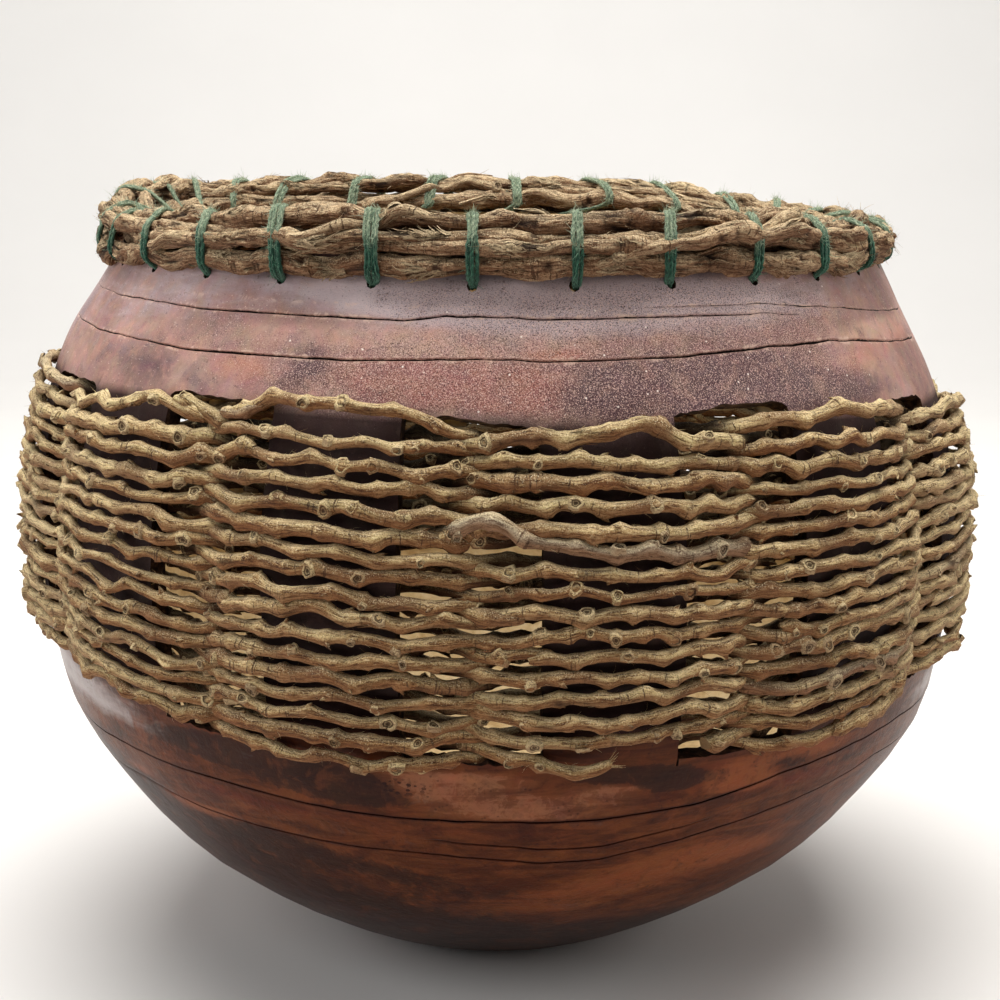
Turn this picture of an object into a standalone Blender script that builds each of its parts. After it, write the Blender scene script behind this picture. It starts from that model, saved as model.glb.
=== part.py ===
# Gourd basket: a dried hard-shelled gourd with a cut mouth, twelve sawn windows
# that leave twelve upright ribs, vine weavers woven in and out of the ribs, and a
# bundle of thicker vines lashed over the rim with green yarn through drilled holes.
# Units are metres, +Z is up, and the foot stands on z = 0 with the axis at x = y = 0.
# Angles run from the front (-Y) towards +X.

import math

import bmesh
import bpy
from mathutils import Vector

# ---------------------------------------------------------------- dimensions
MM = 0.001

# Turned outline of the gourd's outer skin: (radius, height) in mm, foot to cut mouth.
OUTLINE = (
    (44.0, 0.0),
    (54.0, 4.0),
    (66.0, 10.0),
    (83.0, 20.0),
    (103.5, 35.0),
    (122.0, 55.0),
    (138.2, 80.0),
    (145.8, 110.0),
    (147.8, 140.0),
    (144.8, 165.0),
    (137.6, 190.0),
    (126.8, 210.0),
    (116.7, 228.0),
)
WALL = 5.5  # shell thickness
FLOOR = 6.0  # thickness of the foot's floor
MOUTH_Z = 228.0  # height of the cut mouth

# The woven band and the collar sit lower towards +X, and the mouth is nearly level
# again: (height where a change of slope starts, its length in height, slope added).
LEAN = ((0.0, 95.0, 0.020), (95.0, 90.0, 0.010), (195.0, 28.0, -0.022))

RIBS = 12
RIB_FIRST = -17.5  # angle of the first rib's middle, degrees
RIB_HALF = 7.5  # half a rib's width, degrees
WINDOW_Z0 = 95.5  # lower edge of the windows
WINDOW_Z1 = 188.5  # upper edge of the windows
# The woven band narrows towards the two sides.
SILL_RISE = 9.0  # how much higher the windows start there
HEAD_DIP = 3.0  # how much lower they end there
BAND_SQUEEZE = 0.14  # how much flatter the weavers are pressed there
SLIDE_Z0, SLIDE_Z1 = 60.0, 205.0  # the heights between which the shell is affected

ROWS = 33  # weaver rows
ROW_Z0 = 97.0  # height of the lowest row
ROW_Z1 = 184.5  # height of the highest row, which leaves a slit over it
TWIG_OUT = 1.75  # half thickness of a weaver, square to the wall
TWIG_TALL = 1.75  # half height of a weaver over a rib
TWIG_TIGHT = 1.18  # half height where the rows are packed in a window
GAP = 0.35  # clearance kept between touching pieces
WEAVER_END = 0.7  # half the gap between a weaver's two ends, degrees
BOW = 2.4  # how far a stiff vine stands off the middle of a rib

# The cut mouth and the bundle on it dip at the two sides, +X and -X.
MOUTH_DIP = 3.2
SIDE_THINNER = 0.07  # the vines are squeezed a little thinner there

# Rim vines in section: (radius of the ring, height, half thickness, then how far it
# moves in radius and in height at the two sides) in mm.
RIM_VINES = (
    (123.2, 225.8, 3.0, -0.2, -1.0),
    (123.9, 232.1, 3.0, -2.5, -1.55),
    (120.4, 237.5, 2.8, -4.1, -4.1),
    (114.0, 237.0, 2.9, -3.1, -5.7),
    (108.9, 232.3, 3.0, -1.6, -5.8),
    (116.9, 231.5, 2.8, -1.1, -3.75),
)
RIM_POINTS = 48
RIM_SIDES = 5

STITCHES = 28
STITCH_FIRST = -3.0  # angle of one stitch, degrees
HOLE_Z = 220.6
HOLE_R = 2.4
# One stitch in section: (radius, height, half width, half thickness, step round, then
# how far it moves in radius and in height at the two sides). It comes through the
# hole, over the outside and the top of the bundle and down inside, then runs along
# the inside of the wall to the next hole.
STITCH = (
    (111.4, 220.6, 1.3, 0.8, 0.00, 0.0, 0.0),
    (124.5, 220.2, 1.3, 0.8, 0.00, 0.0, 0.0),
    (128.2, 225.5, 2.2, 0.8, 0.00, -0.7, -1.1),
    (128.9, 232.5, 2.2, 0.8, 0.00, -3.2, -0.4),
    (124.2, 240.6, 2.2, 0.8, 0.00, -4.6, -3.4),
    (119.6, 242.3, 2.2, 0.8, 0.00, -4.2, -4.2),
    (113.0, 242.1, 2.2, 0.8, 0.00, -3.0, -5.9),
    (107.3, 238.7, 2.2, 0.8, 0.00, -1.7, -6.5),
    (103.7, 232.5, 2.0, 0.8, 0.05, -0.9, -6.1),
    (105.6, 226.5, 1.5, 0.8, 0.50, -0.2, -5.5),
)


# ---------------------------------------------------------------- geometry helpers
def clear_scene():
    for ob in list(bpy.data.objects):
        bpy.data.objects.remove(ob, do_unlink=True)


def catmull(p0, p1, p2, p3, t):
    """Point on the smooth curve through p1 and p2."""
    out = []
    for a, b, c, d in zip(p0, p1, p2, p3):
        out.append(
            0.5
            * (
                2 * b
                + (c - a) * t
                + (2 * a - 5 * b + 4 * c - d) * t * t
                + (3 * b - a - 3 * c + d) * t * t * t
            )
        )
    return out


def outline_curve(steps=24):
    pts = list(OUTLINE)
    first = [2 * a - b for a, b in zip(pts[0], pts[1])]
    last = [2 * a - b for a, b in zip(pts[-1], pts[-2])]
    pts = [first] + pts + [last]
    curve = []
    for i in range(1, len(pts) - 2):
        for s in range(steps):
            curve.append(catmull(pts[i - 1], pts[i], pts[i + 1], pts[i + 2], s / steps))
    curve.append(list(pts[-2]))
    return curve


CURVE = outline_curve()


def skin(z):
    """Outer radius and outward normal (radial, vertical) of the skin at height z."""
    lo, hi = 0, len(CURVE) - 1
    while hi - lo > 1:
        mid = (lo + hi) // 2
        if CURVE[mid][1] <= z:
            lo = mid
        else:
            hi = mid
    (r0, z0), (r1, z1) = CURVE[lo], CURVE[hi]
    t = (z - z0) / (z1 - z0)
    a, b = CURVE[max(lo - 3, 0)], CURVE[min(hi + 3, len(CURVE) - 1)]
    dr, dz = b[0] - a[0], b[1] - a[1]
    size = math.hypot(dr, dz)
    return r0 + t * (r1 - r0), (dz / size, -dr / size)


def ease(t):
    t = min(max(t, 0.0), 1.0)
    return t * t * (3 - 2 * t)


def side(angle, first=0.40, last=0.95):
    """How near an angle is to one of the two sides: 0 at front and back, 1 at a side."""
    return ease((abs(math.sin(math.radians(angle))) - first) / (last - first))


def slide(z, angle):
    """Height at which a level line of the woven band lies at an angle."""
    if z <= SLIDE_Z0 or z >= SLIDE_Z1:
        move = 0.0
    elif z < WINDOW_Z0:
        move = SILL_RISE * (z - SLIDE_Z0) / (WINDOW_Z0 - SLIDE_Z0)
    elif z < WINDOW_Z1:
        t = (z - WINDOW_Z0) / (WINDOW_Z1 - WINDOW_Z0)
        move = SILL_RISE * (1 - t) - HEAD_DIP * t
    else:
        move = -HEAD_DIP * (SLIDE_Z1 - z) / (SLIDE_Z1 - WINDOW_Z1)
    return z + move * side(angle, 0.5, 1.0)


def lean(x, y, z):
    """Tip the upper part of the basket towards +X, leaving the foot flat."""
    slope = sum(add * ease((z - start) / length) for start, length, add in LEAN)
    return (x, y, z - slope * x)


def place(radius, angle, z):
    """World point, in metres, from a radius, an angle in degrees and a height in mm."""
    a = math.radians(angle)
    x, y, z = lean(radius * math.sin(a), -radius * math.cos(a), z)
    return Vector((x * MM, y * MM, z * MM))


def offset(z, angle, d):
    """World point that lies d mm outside the skin, square to it, at height z."""
    r, (nr, nz) = skin(z)
    return place(r + d * nr, angle, z + d * nz)


def material(name, colour, roughness, metallic=0.0):
    mat = bpy.data.materials.new(name)
    mat.use_nodes = True
    shader = mat.node_tree.nodes["Principled BSDF"]
    shader.inputs["Base Color"].default_value = (*colour, 1.0)
    shader.inputs["Roughness"].default_value = roughness
    shader.inputs["Metallic"].default_value = metallic
    mat.diffuse_color = (*colour, 1.0)
    return mat


def add_object(name, bm, mat, sharp=40.0):
    bmesh.ops.recalc_face_normals(bm, faces=bm.faces)
    mesh = bpy.data.meshes.new(name)
    bm.to_mesh(mesh)
    bm.free()
    mesh.materials.append(mat)
    mesh.shade_smooth()
    mesh.set_sharp_from_angle(angle=math.radians(sharp))
    ob = bpy.data.objects.new(name, mesh)
    bpy.context.scene.collection.objects.link(ob)
    return ob


def tube(points, sections, frames):
    """Open tube: each ring is a list of (across, up) offsets in its own frame."""
    bm = bmesh.new()
    rings = []
    for p, sec, (across, up) in zip(points, sections, frames):
        rings.append([bm.verts.new(p + across * a * MM + up * u * MM) for a, u in sec])
    count = len(rings[0])
    for one, two in zip(rings, rings[1:]):
        for i in range(count):
            j = (i + 1) % count
            bm.faces.new((one[i], one[j], two[j], two[i]))
    bm.faces.new(list(reversed(rings[0])))
    bm.faces.new(rings[-1])
    return bm


# ---------------------------------------------------------------- the gourd
def gourd_rows():
    below = [0.0, 4.0, 10.0, 20.0, 35.0, 55.0, 76.0]
    step = (WINDOW_Z1 - WINDOW_Z0) / 5
    band = [WINDOW_Z0 + step * i for i in range(6)]
    above = [200.0, 214.0, MOUTH_Z]
    return below + band + above, len(below), len(below) + len(band) - 1


def gourd_angles():
    """Columns of the shell: edge and middle of each rib, then of each window."""
    angles, is_window = [], []
    for i in range(RIBS):
        mid = RIB_FIRST + i * 360.0 / RIBS
        half_window = 360.0 / RIBS / 2 - RIB_HALF
        angles += [mid - RIB_HALF, mid, mid + RIB_HALF, mid + RIB_HALF + half_window]
        is_window += [False, False, True, True]
    return angles, is_window


def make_gourd(mat):
    rows, w0, w1 = gourd_rows()
    angles, is_window = gourd_angles()
    n = len(angles)
    bm = bmesh.new()
    outer, inner = [], []
    for j, row in enumerate(rows):
        outer.append([])
        inner.append([])
        for a in angles:
            z = slide(row, a)
            if j == len(rows) - 1:
                z -= MOUTH_DIP * side(a)
            r, (nr, nz) = skin(z)
            if j == 0:
                ri, zi = r - 3.5, FLOOR
            elif j == len(rows) - 1:
                ri, zi = r - WALL / nr, z
            else:
                ri, zi = r - WALL * nr, z - WALL * nz
            outer[-1].append(bm.verts.new(place(r, a, z)))
            inner[-1].append(bm.verts.new(place(ri, a, zi)))
    for j in range(len(rows) - 1):
        in_band = w0 <= j < w1
        for i in range(n):
            k = (i + 1) % n
            if in_band and is_window[i]:
                continue
            bm.faces.new((outer[j][i], outer[j][k], outer[j + 1][k], outer[j + 1][i]))
            bm.faces.new((inner[j][i], inner[j + 1][i], inner[j + 1][k], inner[j][k]))
    for i in range(n):
        k = (i + 1) % n
        if is_window[i]:
            # sill and head of the window
            bm.faces.new((outer[w0][i], outer[w0][k], inner[w0][k], inner[w0][i]))
            bm.faces.new((outer[w1][i], inner[w1][i], inner[w1][k], outer[w1][k]))
        if is_window[i] != is_window[i - 1]:
            # a jamb, where a rib meets a window
            for j in range(w0, w1):
                quad = (outer[j][i], inner[j][i], inner[j + 1][i], outer[j + 1][i])
                bm.faces.new(quad if is_window[i] else tuple(reversed(quad)))
    # the cut mouth, the foot and the floor
    for i in range(n):
        k = (i + 1) % n
        bm.faces.new((outer[-1][i], outer[-1][k], inner[-1][k], inner[-1][i]))
    bm.faces.new(list(reversed(outer[0])))
    bm.faces.new(inner[0])
    ob = add_object("gourd_shell", bm, mat)

    drill = bmesh.new()
    for i in range(STITCHES):
        angle = STITCH_FIRST + i * 360.0 / STITCHES
        ends = []
        for radius in (100.0, 130.0):
            c = place(radius, angle, HOLE_Z)
            across = Vector((math.cos(math.radians(angle)), math.sin(math.radians(angle)), 0))
            ring = []
            for s in range(6):
                b = math.radians(60 * s)
                up = Vector((0, 0, 1))
                ring.append(
                    drill.verts.new(
                        c + across * HOLE_R * MM * math.cos(b) + up * HOLE_R * MM * math.sin(b)
                    )
                )
            ends.append(ring)
        for s in range(6):
            t = (s + 1) % 6
            drill.faces.new((ends[0][s], ends[0][t], ends[1][t], ends[1][s]))
        drill.faces.new(list(reversed(ends[0])))
        drill.faces.new(ends[1])
    cutter = add_object("lash_hole_drill", drill, mat)
    cutter.hide_render = True
    cutter.display_type = "WIRE"
    cut = ob.modifiers.new("lash_holes", "BOOLEAN")
    cut.operation = "DIFFERENCE"
    cut.solver = "EXACT"
    cut.object = cutter
    return ob


# ---------------------------------------------------------------- woven band
def make_weaver(row, mat):
    """One vine, once round: outside one rib, inside the next, its ends butted
    behind a rib where they don't show."""
    z = ROW_Z0 + row * (ROW_Z1 - ROW_Z0) / (ROWS - 1)
    first = 2 * ((5 * row) % (RIBS // 2)) + (1 - row % 2)  # the rib that hides the ends
    out = GAP + TWIG_OUT
    inn = -(WALL + GAP + TWIG_OUT)
    stops = []  # (angle, distance from the skin, half height)
    mid = RIB_FIRST + first * 360.0 / RIBS
    across = 360.0 / RIBS / 2  # from the middle of a rib to the middle of a window
    stops.append((mid + WEAVER_END, inn - 0.3, TWIG_TIGHT))
    stops.append((mid + RIB_HALF, inn - 0.3, TWIG_TIGHT))
    stops.append((mid + across, (out + inn) / 2, TWIG_TIGHT))
    for i in range(1, RIBS):
        mid = RIB_FIRST + (first + i) * 360.0 / RIBS
        if i % 2:
            stops.append((mid - RIB_HALF, out + 0.4, TWIG_TIGHT))
            stops.append((mid, out + BOW, TWIG_TALL))
            stops.append((mid + RIB_HALF, out + 0.4, TWIG_TIGHT))
        else:
            stops.append((mid - RIB_HALF, inn - 0.3, TWIG_TIGHT))
            stops.append((mid + RIB_HALF, inn - 0.3, TWIG_TIGHT))
        stops.append((mid + across, (out + inn) / 2, TWIG_TIGHT))
    mid = RIB_FIRST + (first + RIBS) * 360.0 / RIBS
    stops.append((mid - RIB_HALF, inn - 0.3, TWIG_TIGHT))
    stops.append((mid - WEAVER_END, inn - 0.3, TWIG_TIGHT))

    pts = [offset(slide(z, a), a, d) for a, d, _ in stops]
    frames, sections = [], []
    for i, (angle, _, tall) in enumerate(stops):
        a = math.radians(angle)
        _, (nr, nz) = skin(slide(z, angle))
        tall *= 1 - BAND_SQUEEZE * side(angle, 0.5, 1.0)
        normal = Vector((nr * math.sin(a), -nr * math.cos(a), nz))
        along = (pts[min(i + 1, len(pts) - 1)] - pts[max(i - 1, 0)]).normalized()
        across = (normal - along * normal.dot(along)).normalized()
        up = across.cross(along).normalized()
        frames.append((across, up))
        sections.append([(TWIG_OUT, 0), (0, tall), (-TWIG_OUT, 0), (0, -tall)])
    return add_object("weaver_%02d" % (row + 1), tube(pts, sections, frames), mat)


# ---------------------------------------------------------------- rim
def make_rim_vine(index, mat):
    radius, z, half, side_radius, side_z = RIM_VINES[index]
    start = 150.0 + 40.0 * index  # each vine's two ends meet at its own place
    gap = 0.8
    pts, frames, sections = [], [], []
    corners = [2 * math.pi * s / RIM_SIDES for s in range(RIM_SIDES)]
    for i in range(RIM_POINTS + 1):
        angle = start + gap + (360.0 - 2 * gap) * i / RIM_POINTS
        a = math.radians(angle)
        dip = side(angle)
        size = half * (1 - SIDE_THINNER * dip)
        pts.append(place(radius + side_radius * dip, angle, z + side_z * dip))
        frames.append((Vector((math.sin(a), -math.cos(a), 0)), Vector((0, 0, 1))))
        sections.append([(size * math.cos(c), size * math.sin(c)) for c in corners])
    return add_object("rim_vine_%d" % (index + 1), tube(pts, sections, frames), mat)


def make_lashing(mat):
    pts, widths, thick = [], [], []
    step = 360.0 / STITCHES
    start = 15  # the yarn's two ends are tucked inside, at the back
    for i in range(STITCHES):
        angle = STITCH_FIRST + (start + i) * step
        for radius, z, w, t, on, side_radius, side_z in STITCH:
            if i == STITCHES - 1 and on > 0.2:
                continue
            dip = side(angle + on * step)
            pts.append((radius + side_radius * dip, angle + on * step, z + side_z * dip))
            widths.append(w)
            thick.append(t)
    world = [place(*p) for p in pts]
    frames, sections = [], []
    for i, (radius, angle, z) in enumerate(pts):
        a = math.radians(angle)
        round_way = Vector((math.cos(a), math.sin(a), 0))
        before = (world[i] - world[max(i - 1, 0)]).normalized() if i else None
        after = (world[min(i + 1, len(world) - 1)] - world[i]).normalized() if i < len(world) - 1 else None
        along = ((before or after) + (after or before)).normalized()
        wide = (round_way - along * round_way.dot(along)).normalized()
        flat = wide.cross(along).normalized()
        frames.append((wide, flat))
        w, t = widths[i], thick[i]
        sections.append([(w, t), (-w, t), (-w, -t), (w, -t)])
    return add_object("lashing_yarn", tube(world, sections, frames), mat)


# ---------------------------------------------------------------- build
clear_scene()
gourd_skin = material("gourd_skin", (0.190, 0.058, 0.028), 0.40)
make_gourd(gourd_skin)
for row in range(ROWS):
    tone = 0.9 + 0.2 * ((row * 7) % 5) / 4
    bark = material("weaver_bark_%02d" % (row + 1), (0.30 * tone, 0.205 * tone, 0.105 * tone), 0.85)
    make_weaver(row, bark)
for index in range(len(RIM_VINES)):
    tone = 0.95 + 0.05 * index
    bark = material("rim_bark_%d" % (index + 1), (0.36 * tone, 0.24 * tone, 0.12 * tone), 0.9)
    make_rim_vine(index, bark)
make_lashing(material("green_yarn", (0.035, 0.130, 0.070), 0.95))
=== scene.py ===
# Looks of the gourd basket: bark, gourd skin, yarn, studio light and camera.
# Every piece is built here as a mesh around the fixed frame, in metres, +Z up.
# Heights and radii below are in mm; angles are in degrees from the front (-Y) towards +X.

import math

import bpy
import numpy as np
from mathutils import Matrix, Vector


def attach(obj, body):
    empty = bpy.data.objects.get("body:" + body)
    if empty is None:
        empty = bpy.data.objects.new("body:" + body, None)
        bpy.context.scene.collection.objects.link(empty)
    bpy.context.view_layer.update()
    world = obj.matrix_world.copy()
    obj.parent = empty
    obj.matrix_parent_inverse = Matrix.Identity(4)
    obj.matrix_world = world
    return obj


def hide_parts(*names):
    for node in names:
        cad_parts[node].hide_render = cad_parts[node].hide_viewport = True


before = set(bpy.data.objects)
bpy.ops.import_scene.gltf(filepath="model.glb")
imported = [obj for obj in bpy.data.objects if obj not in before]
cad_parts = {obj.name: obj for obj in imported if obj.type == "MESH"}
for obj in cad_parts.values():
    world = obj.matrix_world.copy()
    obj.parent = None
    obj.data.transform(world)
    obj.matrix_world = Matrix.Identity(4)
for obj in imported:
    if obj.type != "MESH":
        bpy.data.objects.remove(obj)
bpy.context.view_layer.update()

MM = 0.001
TAU = 2 * math.pi

# ---------------------------------------------------------------- the frame's numbers
OUTLINE = (
    (44.0, 0.0),
    (54.0, 4.0),
    (66.0, 10.0),
    (83.0, 20.0),
    (103.5, 35.0),
    (122.0, 55.0),
    (138.2, 80.0),
    (145.8, 110.0),
    (147.8, 140.0),
    (144.8, 165.0),
    (137.6, 190.0),
    (126.8, 210.0),
    (116.7, 228.0),
)
WALL, FLOOR, MOUTH_Z = 5.5, 6.0, 228.0
LEAN = ((0.0, 95.0, 0.020), (95.0, 90.0, 0.010), (195.0, 28.0, -0.022))
RIBS, RIB_FIRST, RIB_HALF = 12, -17.5, 7.5
WINDOW_Z0, WINDOW_Z1 = 95.5, 188.5
SILL_RISE, HEAD_DIP, BAND_SQUEEZE = 9.0, 3.0, 0.14
SLIDE_Z0, SLIDE_Z1 = 60.0, 205.0
MOUTH_DIP, SIDE_THINNER = 3.2, 0.07
ROWS, ROW_Z0, ROW_Z1 = 33, 97.0, 184.5
RIM_VINES = (
    (123.2, 225.8, 3.0, -0.2, -1.0),
    (123.9, 232.1, 3.0, -2.5, -1.55),
    (120.4, 237.5, 2.8, -4.1, -4.1),
    (114.0, 237.0, 2.9, -3.1, -5.7),
    (108.9, 232.3, 3.0, -1.6, -5.8),
    (116.9, 231.5, 2.8, -1.1, -3.75),
)
STITCHES, STITCH_FIRST, HOLE_Z = 28, -3.0, 220.6


# ---------------------------------------------------------------- helpers: numbers
def outline_curve(steps=24):
    pts = [np.array(p) for p in OUTLINE]
    pts = [2 * pts[0] - pts[1]] + pts + [2 * pts[-1] - pts[-2]]
    out = []
    for i in range(1, len(pts) - 2):
        a, b, c, d = pts[i - 1 : i + 3]
        for s in range(steps):
            t = s / steps
            out.append(
                0.5
                * (
                    2 * b
                    + (c - a) * t
                    + (2 * a - 5 * b + 4 * c - d) * t * t
                    + (3 * b - a - 3 * c + d) * t**3
                )
            )
    out.append(pts[-2])
    return np.array(out)


CURVE = outline_curve()
_ahead = np.minimum(np.arange(len(CURVE)) + 3, len(CURVE) - 1)
_behind = np.maximum(np.arange(len(CURVE)) - 3, 0)
_slope = CURVE[_ahead] - CURVE[_behind]
_slope /= np.linalg.norm(_slope, axis=1)[:, None]


def skin(z):
    """Outer radius and outward normal (radial, vertical) of the skin at height z."""
    z = np.asarray(z, float)
    r = np.interp(z, CURVE[:, 1], CURVE[:, 0])
    nr = np.interp(z, CURVE[:, 1], _slope[:, 1])
    nz = -np.interp(z, CURVE[:, 1], _slope[:, 0])
    size = np.hypot(nr, nz)
    return r, nr / size, nz / size


def ease(t):
    t = np.clip(t, 0, 1)
    return t * t * (3 - 2 * t)


def side(ang, first=0.40, last=0.95):
    """0 at the front and the back, 1 at the two sides."""
    return ease((np.abs(np.sin(np.radians(ang))) - first) / (last - first))


def rim_dip(ang):
    """How far the rim has sunk, 0 to 1: at the sides, but the far left stays up."""
    a = wrap(np.asarray(ang, float))
    up = smooth(a, -76.0, -96.0) * smooth(a, -178.0, -150.0)
    return side(ang) * (1 - up)


def slide(z, ang):
    """Height at which a level line of the woven band lies at an angle."""
    z = np.asarray(z, float)
    move = np.interp(
        z, [SLIDE_Z0, WINDOW_Z0, WINDOW_Z1, SLIDE_Z1], [0.0, SILL_RISE, -HEAD_DIP, 0.0]
    )
    return z + move * side(ang, 0.5, 1.0)


def place(r, ang, z):
    """World points, in metres, from radius and height in mm and angle in degrees."""
    r, ang, z = np.broadcast_arrays(*(np.asarray(q, float) for q in (r, ang, z)))
    a = np.radians(ang)
    x, y = r * np.sin(a), -r * np.cos(a)
    slope = sum(add * ease((z - start) / length) for start, length, add in LEAN)
    return np.stack([x, y, z - slope * x], -1) * MM


def level(ang, z):
    """The frame's height of a mark whose height is given for a straight lean of 0.030."""
    z = np.asarray(z, float)
    slope = sum(add * ease((z - start) / length) for start, length, add in LEAN)
    x = skin(z)[0] * np.sin(np.radians(ang))
    return z + (slope - 0.030 * ease(z / 95.0)) * x


def off(z, ang, d):
    """World points d mm outside the skin, square to it, at height z."""
    r, nr, nz = skin(z)
    return place(r + d * nr, ang, z + d * nz)


def outward(z, ang):
    _, nr, nz = skin(z)
    a = np.radians(ang)
    return np.stack([nr * np.sin(a), -nr * np.cos(a), nz * np.ones_like(a)], -1)


def _mix_bits(h):
    h = (h ^ (h >> 15)) * 0x2C1B3C6D & 0xFFFFFFFF
    h = (h ^ (h >> 12)) * 0x297A2D39 & 0xFFFFFFFF
    return h ^ (h >> 15)


def _lattice(ix, iy, iz, seed):
    h = (ix * 73856093) ^ (iy * 19349663) ^ (iz * 83492791) ^ (seed * 2654435761)
    return _mix_bits(_mix_bits(h & 0xFFFFFFFF)) / 2147483647.5 - 1.0


def noise3(x, y, z, seed=0):
    """Smooth noise between -1 and 1."""
    x, y, z = np.broadcast_arrays(*(np.asarray(q, float) for q in (x, y, z)))
    i = [np.floor(q).astype(np.int64) for q in (x, y, z)]
    f = [q - k for q, k in zip((x, y, z), i)]
    f = [t * t * t * (t * (t * 6 - 15) + 10) for t in f]
    out = 0.0
    for a in (0, 1):
        for b in (0, 1):
            for c in (0, 1):
                w = (f[0] if a else 1 - f[0]) * (f[1] if b else 1 - f[1])
                w = w * (f[2] if c else 1 - f[2])
                out = out + w * _lattice(i[0] + a, i[1] + b, i[2] + c, seed)
    return out


def fbm(x, y, z, seed=0, octaves=3, fall=0.5):
    out, amp, total = 0.0, 1.0, 0.0
    for k in range(octaves):
        out = out + amp * noise3(x * 2**k, y * 2**k, z * 2**k, seed + 17 * k)
        total += amp
        amp *= fall
    return out / total


def smooth(x, lo, hi):
    t = np.clip((x - lo) / (hi - lo), 0, 1)
    return t * t * (3 - 2 * t)


def wrap(a):
    return (a + 180.0) % 360.0 - 180.0


def around(ang, points):
    """Periodic interpolation through (angle, value) points."""
    pts = sorted(points)
    a = np.array([p[0] for p in pts])
    v = np.array([p[1] for p in pts])
    return np.interp(wrap(np.asarray(ang, float)), a, v, period=360.0)


# ---------------------------------------------------------------- helpers: meshes
class Build:
    """Collects mesh parts with their per-vertex attributes, then makes one object."""

    def __init__(self, vector=("bark",), scalar=("tone", "moss", "knot", "cav")):
        self.v, self.q, self.t, self.qm, self.tm = [], [], [], [], []
        self.kinds = {n: 3 for n in vector}
        self.kinds.update({n: 1 for n in scalar})
        self.at = {n: [] for n in self.kinds}
        self.n = 0

    def add(self, verts, quads=(), tris=(), qm=0, tm=0, **at):
        verts = np.asarray(verts, float).reshape(-1, 3)
        m = len(verts)
        self.v.append(verts)
        for n, size in self.kinds.items():
            val = at.get(n, 0.0)
            arr = np.zeros((m, size))
            arr[:] = np.asarray(val, float).reshape(-1, size) if np.ndim(val) else val
            self.at[n].append(arr)
        if len(quads):
            quads = np.asarray(quads, np.int64).reshape(-1, 4)
            self.q.append(quads + self.n)
            self.qm.append(np.zeros(len(quads), int) + qm)
        if len(tris):
            tris = np.asarray(tris, np.int64).reshape(-1, 3)
            self.t.append(tris + self.n)
            self.tm.append(np.zeros(len(tris), int) + tm)
        self.n += m

    def make(self, name, mats, sharp=None):
        v = np.vstack(self.v)
        q = np.vstack(self.q) if self.q else np.zeros((0, 4), int)
        t = np.vstack(self.t) if self.t else np.zeros((0, 3), int)
        used = np.zeros(len(v), bool)
        used[q.ravel()] = True
        used[t.ravel()] = True
        new = np.cumsum(used) - 1
        v, q, t = v[used], new[q], new[t]
        me = bpy.data.meshes.new(name)
        me.vertices.add(len(v))
        me.vertices.foreach_set("co", v.astype(np.float32).ravel())
        me.loops.add(4 * len(q) + 3 * len(t))
        me.loops.foreach_set(
            "vertex_index", np.concatenate([q.ravel(), t.ravel()]).astype(np.int32)
        )
        me.polygons.add(len(q) + len(t))
        starts = np.concatenate([np.arange(len(q)) * 4, 4 * len(q) + np.arange(len(t)) * 3])
        me.polygons.foreach_set("loop_start", starts.astype(np.int32))
        mi = np.concatenate([*self.qm, *self.tm]) if (self.qm or self.tm) else np.zeros(0)
        for m in mats:
            me.materials.append(m)
        me.polygons.foreach_set("material_index", mi.astype(np.int32))
        me.update(calc_edges=True)
        for n, size in self.kinds.items():
            arr = np.vstack(self.at[n])[used]
            kind = "FLOAT_VECTOR" if size == 3 else "FLOAT"
            a = me.attributes.new(n, kind, "POINT")
            a.data.foreach_set("vector" if size == 3 else "value", arr.astype(np.float32).ravel())
        me.shade_smooth()
        if sharp:
            me.set_sharp_from_angle(angle=math.radians(sharp))
        ob = bpy.data.objects.new(name, me)
        bpy.context.scene.collection.objects.link(ob)
        return ob


def unit(v):
    return v / np.maximum(np.linalg.norm(v, axis=-1, keepdims=True), 1e-12)


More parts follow.
